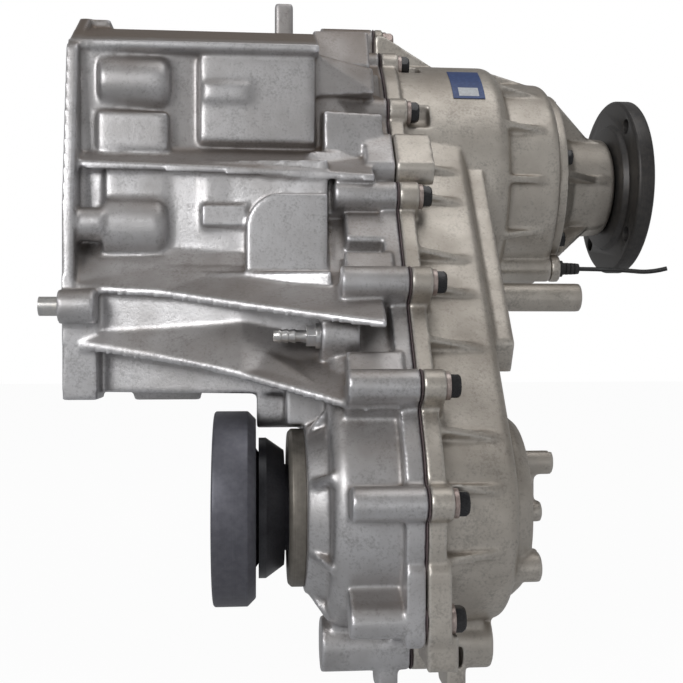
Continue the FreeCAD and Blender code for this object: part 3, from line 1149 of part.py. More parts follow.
def mainshaft():
    """Main shaft from the pilot bearing to the rear flange thread."""
    nut_x = REAR_FLANGE_X + REAR_FLANGE_THICKNESS - REAR_RECESS_DEPTH
    return turned([
        (PLANET_X + 2, 0), (PLANET_X + 2, PILOT_RADIUS - 1), (PLANET_X + 3, PILOT_RADIUS),
        (SUN_END_X + 1, PILOT_RADIUS), (SUN_END_X + 1, MAIN_SHAFT_RADIUS),
        (MAIN_COLLAR_X, MAIN_SHAFT_RADIUS), (MAIN_COLLAR_X, MAIN_COLLAR_RADIUS),
        (MAIN_COLLAR_X + 8, MAIN_COLLAR_RADIUS), (MAIN_COLLAR_X + 8, SPROCKET_JOURNAL_RADIUS),
        (CLUTCH_DRUM_X + 6, SPROCKET_JOURNAL_RADIUS), (CLUTCH_DRUM_X + 6, CLUTCH_SEAT_RADIUS + 7),
        (CLUTCH_DRUM_X + 9, CLUTCH_SEAT_RADIUS + 7), (CLUTCH_DRUM_X + 9, CLUTCH_SEAT_RADIUS),
        (REAR_BEARING_X - 2, CLUTCH_SEAT_RADIUS), (REAR_BEARING_X - 2, REAR_BEARING_BORE + 2),
        (REAR_BEARING_X, REAR_BEARING_BORE + 2), (REAR_BEARING_X, REAR_BEARING_BORE),
        (TONE_WHEEL_X + TONE_WHEEL_WIDTH, REAR_BEARING_BORE),
        (TONE_WHEEL_X + TONE_WHEEL_WIDTH, REAR_SHAFT_RADIUS),
        (nut_x, REAR_SHAFT_RADIUS), (nut_x, THREAD_RADIUS),
        (REAR_FLANGE_X + REAR_FLANGE_THICKNESS - 1, THREAD_RADIUS),
        (REAR_FLANGE_X + REAR_FLANGE_THICKNESS - 1, 0)])


def sprocket_outline(gap_deg, axis):
    """Sprocket with a gap centred on the given direction."""
    root = SPROCKET_PITCH_RADIUS - CHAIN_ROLLER_RADIUS - TOOTH_CLEARANCE
    return toothed_outline(SPROCKET_TEETH, root, SPROCKET_PITCH_RADIUS + 2.4, 0.32, 0.19,
                           gap_deg + 180 / SPROCKET_TEETH, axis)


def drive_sprocket():
    """Upper sprocket with a hub that carries the clutch drum."""
    half = SPROCKET_WIDTH / 2
    teeth = prism_x(sprocket_outline(NEAR_DEG, MAIN_AXIS), CHAIN_X - half, CHAIN_X + half)
    hub = disc(CHAIN_X - half - 4, CLUTCH_DRUM_X, 30)
    body = joined([teeth, hub])
    grooves = [turned([(CHAIN_X + s * half, 33), (CHAIN_X + s * half, 45), (CHAIN_X + s * (half - 5), 43),
                       (CHAIN_X + s * (half - 5), 35)]) for s in (-1, 1)]
    bore = disc(CHAIN_X - half - 5, CLUTCH_DRUM_X + 1, SPROCKET_JOURNAL_RADIUS + RUNNING_CLEARANCE)
    return body.cut(grooves + [bore])


def driven_sprocket():
    """Driven sprocket on the front output shaft, lightened by a ring of holes."""
    half = SPROCKET_WIDTH / 2
    teeth = prism_x(sprocket_outline(NEAR_DEG + 180 / SPROCKET_TEETH, FRONT_AXIS), CHAIN_X - half,
                    CHAIN_X + half)
    body = joined([teeth, disc(CHAIN_X - half - 4, CHAIN_X + half + 4, 30, FRONT_AXIS)])
    holes = [disc(CHAIN_X - half - 1, CHAIN_X + half + 1, 5, polar(39, 45 * k, FRONT_AXIS))
             for k in range(8)]
    return body.cut(holes + [disc(CHAIN_X - half - 5, CHAIN_X + half + 5, SPROCKET_SEAT_RADIUS,
                                  FRONT_AXIS)])


def chain_pins():
    """Pin places round the loop: near run, lower wrap, far run and upper wrap."""
    run = (CHAIN_LINKS - SPROCKET_TEETH) // 2
    step = 360 / SPROCKET_TEETH
    wrap = SPROCKET_TEETH // 2 + 1
    radius = SPROCKET_PITCH_RADIUS
    places = [chain_point(k * CHAIN_PITCH, radius) for k in range(run + 1)]
    places += [polar(radius, NEAR_DEG + (k + 0.5) * step, FRONT_AXIS) for k in range(wrap)]
    places += [chain_point(CENTRE_DISTANCE - k * CHAIN_PITCH, -radius) for k in range(1, run + 1)]
    return places + [polar(radius, NEAR_DEG + 180 + (k + 0.5) * step) for k in range(wrap - 1)]


def chain_link(start, end, outer):
    """One link between two pins: a pair of chamfered plates with its two pins or its two rollers."""
    middle = ((start[0] + end[0]) / 2, (start[1] + end[1]) / 2)
    length = math.hypot(end[0] - start[0], end[1] - start[1])
    way = ((end[0] - start[0]) / length, (end[1] - start[1]) / length)
    half = CHAIN_PLATE_HEIGHT / 2
    reach = length / 2
    nose = reach + half * 0.9
    outline = []
    for along, across in ((-nose, half * 0.45), (-reach, half), (reach, half), (nose, half * 0.45),
                          (nose, -half * 0.45), (reach, -half), (-reach, -half), (-nose, -half * 0.45)):
        outline.append((middle[0] + way[0] * along - way[1] * across,
                        middle[1] + way[1] * along + way[0] * across))
    inside = SPROCKET_WIDTH / 2 + FACE_GAP
    if outer:
        inside += CHAIN_PLATE_THICKNESS + FACE_GAP
    outside = inside + CHAIN_PLATE_THICKNESS
    plates = [prism_x(outline, CHAIN_X + inside, CHAIN_X + outside),
              prism_x(outline, CHAIN_X - outside, CHAIN_X - inside)]
    if outer:
        return plates[0].multiFuse(plates[1:] + [disc(CHAIN_X - outside, CHAIN_X + outside,
                                                      CHAIN_PIN_RADIUS, pin)
                                                 for pin in (start, end)])
    rollers = [disc(CHAIN_X - inside, CHAIN_X + inside, CHAIN_ROLLER_RADIUS, pin) for pin in (start, end)]
    bores = [disc(CHAIN_X - outside - 1, CHAIN_X + outside + 1, CHAIN_PIN_RADIUS + RUNNING_CLEARANCE, pin)
             for pin in (start, end)]
    return plates[0].multiFuse(plates[1:] + rollers).cut(bores)


def drive_chain():
    """Roller chain in its rest place round both sprockets."""
    pins = chain_pins()
    return Part.makeCompound([chain_link(pins[k], pins[(k + 1) % CHAIN_LINKS], k % 2 == 1)
                              for k in range(CHAIN_LINKS)])


def clutch_drum():
    """Cup on the sprocket hub whose inner wall drives the steel plates."""
    x0 = CLUTCH_DRUM_X
    x1 = x0 + CLUTCH_DRUM_LENGTH
    cup = turned([(x0, 0), (x0, 48), (x0 + 6, CLUTCH_DRUM_RADIUS), (x1, CLUTCH_DRUM_RADIUS), (x1, 0)])
    inner = turned([(x0 + 5, 0), (x0 + 5, 46), (x0 + 8, CLUTCH_DRUM_RADIUS - CLUTCH_DRUM_WALL),
                    (x1 + 1, CLUTCH_DRUM_RADIUS - CLUTCH_DRUM_WALL), (x1 + 1, 0)])
    slots = [fin([(x0 + 12, CLUTCH_DRUM_RADIUS - 7), (x0 + 12, CLUTCH_DRUM_RADIUS + 1),
                  (x1 - 6, CLUTCH_DRUM_RADIUS + 1), (x1 - 6, CLUTCH_DRUM_RADIUS - 7)], 45 * k, 7)
             for k in range(8)]
    return cup.cut([inner, disc(x0 - 1, x0 + 6, CLUTCH_SEAT_RADIUS + 9)] + slots)


def clutch_hub():
    """Splined hub on the main shaft that carries the friction plates."""
    x0 = CLUTCH_DRUM_X + 9
    teeth = toothed_outline(24, CLUTCH_HUB_RADIUS - 2.5, CLUTCH_HUB_RADIUS, 0.6, 0.45)
    x1 = plate_stations()[-1] + 2 * (CLUTCH_PLATE + CLUTCH_PLATE_GAP) + 1
    body = joined([prism_x(teeth, x0 + 3, x1), disc(x0, x0 + 3, 27)])
    web = turned([(x1 - 14, CLUTCH_SEAT_RADIUS + 6), (x1 - 14, CLUTCH_HUB_RADIUS - 6),
                  (x1 + 1, CLUTCH_HUB_RADIUS - 6),
                  (x1 + 1, CLUTCH_SEAT_RADIUS + 6)])
    return body.cut([web, disc(x0 - 1, x1 + 1, CLUTCH_SEAT_RADIUS)])


def plate_stations():
    """Front faces of the friction plates."""
    pitch = 2 * (CLUTCH_PLATE + CLUTCH_PLATE_GAP)
    return [CLUTCH_DRUM_X + 14 + k * pitch for k in range(CLUTCH_PAIRS)]


def clutch_steel_plates():
    """Steel plates that turn with the drum."""
    outer = CLUTCH_DRUM_RADIUS - CLUTCH_DRUM_WALL
    return Part.makeCompound([ring(x, x + CLUTCH_PLATE, outer, CLUTCH_HUB_RADIUS + 1.5)
                              for x in plate_stations()])


def clutch_friction_plates():
    """Friction plates that turn with the hub."""
    outer = CLUTCH_DRUM_RADIUS - CLUTCH_DRUM_WALL - 1.5
    shift = CLUTCH_PLATE + CLUTCH_PLATE_GAP
    return Part.makeCompound([ring(x + shift, x + shift + CLUTCH_PLATE, outer, CLUTCH_HUB_RADIUS)
                              for x in plate_stations()])


def pressure_plate():
    """Armature that the coil draws against the plate pack."""
    x0 = plate_stations()[-1] + 2 * (CLUTCH_PLATE + CLUTCH_PLATE_GAP) + CLUTCH_RELEASE_GAP
    outer = CLUTCH_DRUM_RADIUS - CLUTCH_DRUM_WALL - 1
    return turned([(x0, CLUTCH_HUB_RADIUS + 1), (x0, outer), (x0 + PRESSURE_PLATE, outer - 2),
                   (x0 + PRESSURE_PLATE, 28), (x0 + 2, 28), (x0 + 2, CLUTCH_HUB_RADIUS + 1)]).cut(
        disc(x0 - 1, x0 + 1.9, CLUTCH_HUB_RADIUS + 1))


def clutch_coil():
    """Fixed coil of the clutch, seated against the end wall of the housing."""
    x1 = COIL_X + COIL_WIDTH
    outer = SMALL_DRUM_RADIUS - DRUM_WALL
    body = ring(COIL_X, x1, outer, COIL_BORE_RADIUS)
    return body.cut(ring(COIL_X - 1, COIL_X + 2, outer - 6, COIL_BORE_RADIUS + 8))


def tone_wheel():
    """Toothed wheel for the speed sensor."""
    teeth = toothed_outline(TONE_WHEEL_TEETH, TONE_WHEEL_RADIUS - 2.5, TONE_WHEEL_RADIUS, 0.6, 0.45)
    x1 = TONE_WHEEL_X + TONE_WHEEL_WIDTH
    return prism_x(teeth, TONE_WHEEL_X, x1).cut(disc(TONE_WHEEL_X - 1, x1 + 1, REAR_BEARING_BORE))


def rear_flange():
    """Companion flange with its hub, bolt holes and the recess of the nut."""
    end_x = REAR_FLANGE_X + REAR_FLANGE_THICKNESS
    hub_x = TONE_WHEEL_X + TONE_WHEEL_WIDTH
    body = turned([(hub_x, 0), (hub_x, REAR_HUB_RADIUS), (RETAINER_NOSE_X + 0.5, REAR_HUB_RADIUS),
                   (REAR_FLANGE_X - 5, REAR_HUB_RADIUS + 5), (REAR_FLANGE_X - 4, 44), (REAR_FLANGE_X, 46),
                   (REAR_FLANGE_X, REAR_FLANGE_RADIUS - 1.5), (REAR_FLANGE_X + 1.5, REAR_FLANGE_RADIUS),
                   (end_x - 1.5, REAR_FLANGE_RADIUS), (end_x, REAR_FLANGE_RADIUS - 1.5), (end_x, 0)])
    holes = [disc(REAR_FLANGE_X - 6, end_x + 1, REAR_FLANGE_HOLE_RADIUS, place)
             for place in rear_flange_holes()]
    bore = disc(hub_x - 1, end_x, REAR_SHAFT_RADIUS)
    recess = disc(end_x - REAR_RECESS_DEPTH, end_x + 1, REAR_RECESS_RADIUS)
    return body.cut(holes + [bore, recess])


def rear_flange_holes():
    """Places of the holes in the rear flange."""
    count = REAR_FLANGE_HOLES
    return [polar(REAR_FLANGE_PCD / 2, 360 / count * (k + 0.5)) for k in range(count)]


def flange_nut(x0, x1, collar_x, radius, bore, axis):
    """Hexagon nut with a washer collar at one end."""
    collar = disc(collar_x, collar_x + (x1 - x0) * 0.3, radius * 1.1, axis)
    return joined([collar, hexagon(x0, x1, radius, axis)]).cut(disc(x0 - 1, x1 + 1, bore, axis))


def rear_flange_nut():
    """Nut that holds the rear flange."""
    x0 = REAR_FLANGE_X + REAR_FLANGE_THICKNESS - REAR_RECESS_DEPTH
    return flange_nut(x0, x0 + REAR_RECESS_DEPTH - 0.5, x0, NUT_RADIUS, THREAD_RADIUS, MAIN_AXIS)


def retainer_bolts():
    """Bolts round the output retainer."""
    return Part.makeCompound([small_bolt(SMALL_DRUM_END_X + RETAINER_RIM, place)
                              for place in retainer_bolt_places()])


def front_output_shaft():
    """Lower shaft from the front flange thread to the tail bearing."""
    half = SPROCKET_WIDTH / 2 + 4
    bearing_end = FRONT_BEARING_X + FRONT_BEARING_WIDTH
    tail_x = TAIL_BOSS_X - 1.5
    recess_x = FRONT_FLANGE_X + FRONT_RECESS_DEPTH
    return turned([
        (FRONT_FLANGE_X + 1, 0), (FRONT_FLANGE_X + 1, FRONT_THREAD_RADIUS),
                   (recess_x, FRONT_THREAD_RADIUS),
        (recess_x, FRONT_SEAT_RADIUS), (FRONT_BEARING_X - 2, FRONT_SEAT_RADIUS),
        (FRONT_BEARING_X - 2, FRONT_BEARING_BORE), (bearing_end, FRONT_BEARING_BORE),
                   (bearing_end, SPROCKET_SEAT_RADIUS + 5),
        (bearing_end + 4, SPROCKET_SEAT_RADIUS + 5), (bearing_end + 4, SPROCKET_SEAT_RADIUS),
        (CHAIN_X + half, SPROCKET_SEAT_RADIUS), (CHAIN_X + half, SPROCKET_SEAT_RADIUS - 2),
        (tail_x, SPROCKET_SEAT_RADIUS - 2), (tail_x, TAIL_RADIUS), (REAR_CAVITY_X - 1, TAIL_RADIUS),
        (REAR_CAVITY_X - 1, 0)], FRONT_AXIS)


def tail_bearing():
    """Needle bearing of the lower shaft: a closed shell with its rollers."""
    x1 = REAR_CAVITY_X
    x0 = x1 - TAIL_BEARING_WIDTH
    shell = ring(x0, x1, TAIL_BEARING_RADIUS, TAIL_RADIUS + 3, FRONT_AXIS)
    needle = (3 - RUNNING_CLEARANCE) / 2
    middle = TAIL_RADIUS + RUNNING_CLEARANCE + needle
    return shell.multiFuse([disc(x0 + 2, x1 - 2, needle + 0.02, polar(middle, 30 * k, FRONT_AXIS))
                            for k in range(12)])


def seal_carrier():
    """Pressed ring in front of the lower bearing."""
    x0 = FRONT_NOSE_X - SEAL_CARRIER_WIDTH
    x1 = FRONT_BEARING_X - 0.5
    return turned([(x0, FRONT_SEAL_RADIUS), (x0, SEAL_CARRIER_RADIUS - 2), (x0 + 2, SEAL_CARRIER_RADIUS),
                   (FRONT_NOSE_X, SEAL_CARRIER_RADIUS), (FRONT_NOSE_X, FRONT_BEARING_RADIUS),
                   (x1, FRONT_BEARING_RADIUS),
                   (x1, FRONT_SEAL_RADIUS)], FRONT_AXIS)


def front_flange():
    """Front companion flange: a deep bolt ring on a hub that runs in the seal."""
    x0 = FRONT_FLANGE_X
    x1 = x0 + FRONT_FLANGE_WIDTH
    hub_end = FRONT_BEARING_X - 2
    body = turned([(x0, 0), (x0, FRONT_FLANGE_RADIUS - 1), (x0 + 1, FRONT_FLANGE_RADIUS),
                   (x1, FRONT_FLANGE_RADIUS),
                   (x1 + FRONT_CHAMFER, FRONT_FLANGE_RADIUS - FRONT_CHAMFER), (x1 + FRONT_CHAMFER, 33),
                   (x1 + 6, 31), (x1 + 6, FRONT_HUB_RADIUS), (hub_end, FRONT_HUB_RADIUS), (hub_end, 0)],
                  FRONT_AXIS)
    holes = [disc(x0 - 1, x1 + FRONT_CHAMFER + 1, FRONT_FLANGE_HOLE_RADIUS, place)
             for place in front_flange_holes()]
    recess = disc(x0 - 1, x0 + FRONT_RECESS_DEPTH, FRONT_RECESS_RADIUS, FRONT_AXIS)
    return body.cut(holes + [recess, disc(x0, hub_end + 1, FRONT_SEAT_RADIUS, FRONT_AXIS)])


def front_flange_holes():
    """Places of the holes in the front flange."""
    step = 360 / FRONT_FLANGE_HOLES
    return [polar(FRONT_FLANGE_PCD / 2, step * (k + 0.5), FRONT_AXIS) for k in range(FRONT_FLANGE_HOLES)]


def front_dust_cone():
    """Pressed dust shield on the flange hub, with a rolled band at its rim."""
    x0 = FRONT_FLANGE_X + FRONT_FLANGE_WIDTH + 6
    wall = 1.2
    return turned([(x0, FRONT_HUB_RADIUS), (x0, DUST_CONE_RADIUS), (x0 + 4, DUST_CONE_RADIUS),
                   (x0 + 14, DUST_CONE_RADIUS - 7),
                   (x0 + 14, DUST_CONE_RADIUS - 7 - wall), (x0 + 4, DUST_CONE_RADIUS - wall),
                   (x0 + wall, DUST_CONE_RADIUS - wall), (x0 + wall, FRONT_HUB_RADIUS)], FRONT_AXIS)


def front_flange_nut():
    """Nut that holds the front flange."""
    x0 = FRONT_FLANGE_X + 0.7
    x1 = FRONT_FLANGE_X + FRONT_RECESS_DEPTH
    collar_x = x1 - (x1 - x0) * 0.3
    return flange_nut(x0, x1, collar_x, FRONT_NUT_RADIUS, FRONT_THREAD_RADIUS, FRONT_AXIS)


def hose_barb():
    """Breather barb: a collar on the case wall, a hexagon and three barbed steps pointing forwards."""
    place = barb_place()
    x0 = BARB_SEAT_X - BARB_LENGTH - 6
    rings = [(x0, 0), (x0, BARB_RADIUS - 1)]
    for k in range(3):
        step_x = x0 + 4 * (k + 1)
        rings += [(step_x, BARB_RADIUS), (step_x, BARB_RADIUS - 0.8)]
    rings += [(BARB_SEAT_X - 3, BARB_RADIUS - 0.8), (BARB_SEAT_X - 3, BARB_RADIUS + 3),
              (BARB_SEAT_X, BARB_RADIUS + 3),
              (BARB_SEAT_X, BARB_RADIUS + 1), (NECK_X + BARB_SHANK, BARB_RADIUS + 1),
              (NECK_X + BARB_SHANK, 0)]
    nut = hexagon(BARB_SEAT_X - 8, BARB_SEAT_X - 3, BARB_RADIUS + 2.5, place)
    bore = disc(x0 - 1, NECK_X + BARB_SHANK + 1, BARB_BORE_RADIUS, place)
    return joined([turned(rings, place), nut]).cut(bore)


def fill_plug():
    """Round level plug in the rear wall."""
    x1 = REAR_WALL_X + 8
    plug = joined([disc(REAR_WALL_X - 6, x1, 3, FILL_PLUG_PLACE), disc(x1, x1 + 3, 4.5, FILL_PLUG_PLACE)])
    return plug.cut(hexagon(x1 + 0.5, x1 + 4, 2.5, FILL_PLUG_PLACE))


def lead_grommet():
    """Ribbed strain relief of the coil lead on the cone behind the housing."""
    x0 = SMALL_DRUM_END_X + RETAINER_RIM
    profile = [(x0, 0), (x0, GROMMET_RADIUS + 1.5), (x0 + 3, GROMMET_RADIUS + 1.5),
               (x0 + 3, GROMMET_RADIUS)]
    for k in range(3):
        x = x0 + 5 + 3 * k
        profile += [(x, GROMMET_RADIUS - 0.1 * k), (x, GROMMET_RADIUS - 1), (x + 1, GROMMET_RADIUS - 1),
                    (x + 1, GROMMET_RADIUS - 0.1 * k)]
    profile += [(x0 + 15, GROMMET_RADIUS - 0.6), (x0 + 15, 0)]
    return turned(profile, GROMMET_PLACE).cut(disc(x0 - 1, x0 + 18, LEAD_RADIUS, GROMMET_PLACE))


def rounded_route(points):
    """Straight runs joined by tangent arcs, each as wide as its shorter run allows."""
    corners = [V(*p) for p in points]
    edges = []
    last = corners[0]
    radii = []
    for before, corner, after in zip(corners, corners[1:], corners[2:]):
        back = (before - corner).normalize()
        onward = (after - corner).normalize()
        turn = math.pi - back.getAngle(onward)
        setback = 0.45 * min((before - corner).Length, (after - corner).Length)
        radius = setback / math.tan(turn / 2)
        radii.append(radius)
        start = corner + back * setback
        end = corner + onward * setback
        bisector = (back + onward).normalize()
        middle = corner + bisector * (math.hypot(setback, radius) - radius)
        edges.append(Part.LineSegment(last, start).toShape())
        edges.append(Part.Arc(start, middle, end).toShape())
        last = end
    edges.append(Part.LineSegment(last, corners[-1]).toShape())
    return Part.Wire(edges), radii


def coil_lead():
    """Lead of the clutch coil, with the bare end that the object has."""
    wire, radii = rounded_route(LEAD_ROUTE)
    start = V(*LEAD_ROUTE[0])
    direction = V(*LEAD_ROUTE[1]) - start
    section = Part.Wire([Part.makeCircle(LEAD_RADIUS, start, direction)])
    tube = wire.makePipeShell([section], True, False)
    print("lead length", round(wire.Length, 1), "least radius", round(min(radii), 1),
          "volume ratio", round(tube.Volume / (math.pi * LEAD_RADIUS ** 2 * wire.Length), 4))
    return tube


def all_parts():
    """Every piece under its node name."""
    input_races = ball_bearing(INPUT_BEARING_X, INPUT_BEARING_WIDTH, INPUT_SHAFT_RADIUS,
                               INPUT_BEARING_RADIUS, 10)
    rear_races = ball_bearing(REAR_BEARING_X, REAR_BEARING_WIDTH, REAR_BEARING_BORE,
                              REAR_BEARING_RADIUS, 10)
    front_races = ball_bearing(FRONT_BEARING_X, FRONT_BEARING_WIDTH, FRONT_BEARING_BORE,
                               FRONT_BEARING_RADIUS, 9,
                               FRONT_AXIS)
    parts = {
        "front_case": front_case(),
        "rear_case": rear_case(),
        "output_retainer": output_retainer(),
        "case_gasket": case_gasket(),
        "case_bolts": case_bolts(),
        "ring_dowel": ring_dowel(),
        "input_retainer": input_retainer(),
        "input_retainer_bolts": input_retainer_bolts(),
        "input_seal": lip_seal(-PILOT_LIP + 1, 8, INPUT_SEAL_RADIUS, INPUT_SHAFT_RADIUS),
        "input_shaft": input_shaft(),
        "annulus_gear": annulus_gear(),
        "annulus_snap_ring": annulus_snap_ring(),
        "planet_carrier": planet_carrier(),
        "planet_pins": planet_pins(),
        "pilot_bearing": ring(PLANET_X + 2, SUN_END_X - 2, PILOT_BEARING_RADIUS,
                              PILOT_RADIUS + RUNNING_CLEARANCE),
        "range_sleeve": range_sleeve(),
        "range_fork": range_fork(),
        "shift_rail": disc(RAIL_FRONT_X + 2, RAIL_REAR_X - 2, RAIL_RADIUS, RAIL_PLACE),
        "selector_shaft": selector_shaft(),
        "selector_lever": selector_lever(),
        "mainshaft": mainshaft(),
        "drive_sprocket": drive_sprocket(),
        "drive_chain": drive_chain(),
        "clutch_hub": clutch_hub(),
        "clutch_drum": clutch_drum(),
        "clutch_friction_plates": clutch_friction_plates(),
        "clutch_steel_plates": clutch_steel_plates(),
        "pressure_plate": pressure_plate(),
        "clutch_coil": clutch_coil(),
        "tone_wheel": tone_wheel(),
        "rear_seal": lip_seal(RETAINER_NOSE_X - 12, RETAINER_NOSE_X - 1, REAR_SEAL_RADIUS,
                              REAR_HUB_RADIUS),
        "retainer_bolts": retainer_bolts(),
        "rear_flange": rear_flange(),
        "rear_flange_nut": rear_flange_nut(),
        "front_output_shaft": front_output_shaft(),
        "driven_sprocket": driven_sprocket(),
        "tail_bearing": tail_bearing(),
        "seal_carrier": seal_carrier(),
        "front_seal": lip_seal(FRONT_NOSE_X - SEAL_CARRIER_WIDTH + 1, FRONT_BEARING_X - 2,
                               FRONT_SEAL_RADIUS,
                               FRONT_HUB_RADIUS, FRONT_AXIS),
        "front_flange": front_flange(),
        "front_dust_cone": front_dust_cone(),
        "front_flange_nut": front_flange_nut(),
        "hose_barb": hose_barb(),
        "fill_plug": fill_plug(),
        "lead_grommet": lead_grommet(),
        "coil_lead": coil_lead(),
    }
    for name, races in (("input", input_races), ("rear", rear_races), ("front", front_races)):
        for kind, shape in zip(("outer", "inner", "balls"), races):
            parts[name + "_bearing_" + kind] = shape
    for k, (place, turn_deg) in enumerate(planet_places()):
        parts["planet_gear_%d" % (k + 1)] = planet_gear(place, turn_deg)
    return parts


os.makedirs("parts", exist_ok=True)
for name, shape in all_parts().items():
    shape.exportStep("parts/" + name + ".step")
    print(name, "solids", len(shape.Solids), "valid", shape.isValid(), "volume", round(shape.Volume))
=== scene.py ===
# %% [markdown]
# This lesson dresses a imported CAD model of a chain-drive transfer case, which is bolted behind a
# gearbox and sends the drive to both axles. The big pieces are sand-cast aluminium, so most of
# the work is soft cast corners and a believable metal skin. Blender works in metres here, in the
# same frame as the CAD: +X runs rearwards along the main shaft and +Z is up.
# %% Load the frame
import json
import math
import bpy
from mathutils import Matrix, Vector


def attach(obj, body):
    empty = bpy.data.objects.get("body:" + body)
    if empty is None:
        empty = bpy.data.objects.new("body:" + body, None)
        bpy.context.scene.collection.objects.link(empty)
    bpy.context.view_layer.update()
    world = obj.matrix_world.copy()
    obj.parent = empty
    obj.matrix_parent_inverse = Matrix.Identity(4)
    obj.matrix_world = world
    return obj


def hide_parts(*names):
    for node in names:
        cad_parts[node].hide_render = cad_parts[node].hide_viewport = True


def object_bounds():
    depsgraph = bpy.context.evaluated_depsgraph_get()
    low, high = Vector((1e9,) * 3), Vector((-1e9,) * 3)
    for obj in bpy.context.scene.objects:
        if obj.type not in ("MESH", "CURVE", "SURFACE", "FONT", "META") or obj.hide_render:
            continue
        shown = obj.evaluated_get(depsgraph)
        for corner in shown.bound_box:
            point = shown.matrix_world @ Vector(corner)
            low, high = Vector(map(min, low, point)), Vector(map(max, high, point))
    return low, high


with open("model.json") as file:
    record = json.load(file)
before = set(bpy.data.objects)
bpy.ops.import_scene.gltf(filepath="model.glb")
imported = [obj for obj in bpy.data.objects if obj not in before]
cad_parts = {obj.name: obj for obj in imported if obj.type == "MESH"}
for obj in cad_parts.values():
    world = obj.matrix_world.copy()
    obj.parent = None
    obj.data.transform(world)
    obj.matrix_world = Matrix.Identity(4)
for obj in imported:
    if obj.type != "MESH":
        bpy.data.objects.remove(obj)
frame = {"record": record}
CAD_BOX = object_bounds()
MM = 0.001
MAIN_AXIS = Vector((0.0, 0.0, 0.0))
print("model box", CAD_BOX)

# %% [markdown]
# The camera comes first, because every later choice is judged through it. The photograph was
# taken from about three quarters of a metre, level with the middle of the case and turned a few
# degrees to the rear, so the same place and lens give the same perspective.
# %% Camera
CAMERA_PLACE = (0.111, -0.725, -0.114)
CAMERA_TURN_DEG = 4.94
CAMERA_LENS = 52.7


def add_camera():
    bpy.ops.object.select_all(action="DESELECT")
    turn = (math.radians(90), 0.0, math.radians(-CAMERA_TURN_DEG))
    bpy.ops.object.camera_add(location=CAMERA_PLACE, rotation=turn)
    camera = bpy.context.object
    camera.name = "photo_camera"
    camera.data.lens = CAMERA_LENS
    camera.data.sensor_width = 36.0
    camera.data.clip_start = 0.05
    bpy.context.scene.camera = camera
    return camera


camera = add_camera()
bpy.context.scene.view_settings.view_transform = "Standard"
print("camera", camera.name, tuple(camera.location))

# %% [markdown]
# Shader maths reads better as plain expressions than as a wall of node calls. The small class
# below wraps one socket, and each operator adds the Math node that it stands for. A second class
# holds one material and makes every other node through a single method.
# %% Shader helpers


def as_input(tree, socket, value):
    if isinstance(value, Signal):
        tree.links.new(value.socket, socket)
    else:
        socket.default_value = value


class Signal:
    """One output socket that can be added, multiplied and compared in Python."""

    def __init__(self, tree, socket):
        self.tree = tree
        self.socket = socket

    def math(self, operation, first, second):
        node = self.tree.nodes.new("ShaderNodeMath")
        node.operation = operation
        as_input(self.tree, node.inputs[0], first)
        as_input(self.tree, node.inputs[1], second)
        return Signal(self.tree, node.outputs[0])

    def __add__(self, other):
        return self.math("ADD", self, other)

    def __radd__(self, other):
        return self.math("ADD", other, self)

    def __sub__(self, other):
        return self.math("SUBTRACT", self, other)

    def __rsub__(self, other):
        return self.math("SUBTRACT", other, self)

    def __mul__(self, other):
        return self.math("MULTIPLY", self, other)


class Finish:
    """A material with a Principled shader and one method that adds any other node.

    Inputs are given by name, with _ for a space, or by place, such as i0 for the first.
    """

    def __init__(self, name):
        self.material = bpy.data.materials.new(name)
        self.material.use_nodes = True
        self.tree = self.material.node_tree
        self.shader = self.tree.nodes["Principled BSDF"]

    def node(self, kind, settings=None, output=0, **values):
        made = self.tree.nodes.new(kind)
        for name, value in (settings or {}).items():
            setattr(made, name, value)
        for name, value in values.items():
            key = int(name[1:]) if name[0] == "i" and name[1:].isdigit() else name.replace("_", " ")
            as_input(self.tree, made.inputs[key], value)
        return Signal(self.tree, made.outputs[output])

    def place(self):
        return self.node("ShaderNodeTexCoord", output=3)

    def noise(self, scale, detail, rough):
        return self.node("ShaderNodeTexNoise", Vector=self.place(), Scale=scale, Detail=detail,
                         Roughness=rough)

    def ramp(self, value, low, high):
        """Nought below low, one above high."""
        return self.node("ShaderNodeMapRange", {"clamp": True}, i0=value, i1=low, i2=high)

    def mix(self, factor, first, second):
        """Colour mix; the factor may be a signal or a number."""
        return self.node("ShaderNodeMix", {"data_type": "RGBA"}, output=2, i0=factor, i6=first, i7=second)

    def bump(self, height, strength, distance):
        return self.node("ShaderNodeBump", Strength=strength, Distance=distance, Height=height)

    def set(self, **values):
        for name, value in values.items():
            as_input(self.tree, self.shader.inputs[name.replace("_", " ")], value)
        return self.material


def rgb(red, green, blue):
    return (red, green, blue, 1.0)


print("shader helpers ready")

# %% [markdown]
# As-cast aluminium is grey and dull, with a fine sandy grain, darker pores and soft stains. Faces
# that look up are darkened with a brown painted shade, while upright faces stay a cooler silver.
# Corners that stand out are made pale, partly as rubbed wear and partly as a painted highlight, and
# inner corners and the sunken wall of the bays are darkened with the same painted shade. The normal's
# height gives the first, the bend of the surface gives the corners, the depth gives the bays, and four
# sizes of noise give the rest.
# %% Cast aluminium
PORE = rgb(0.085, 0.078, 0.072)
PORE_SHARE = 0.38
PORE_BAND = (0.36, 0.50)
PATCH_BAND = (0.40, 0.62)
CREASE_BAND = (0.42, 0.495)
EDGE_BAND = (0.515, 0.57)
UPWARD_BAND = (0.15, 0.85)
CREASE_SHARE = 0.6
EDGE_SHARE = 0.55
CAST_METALLIC = 0.84
CAST_ROUGHNESS = 0.33
FRONT_BAY = (-0.116, -0.102)


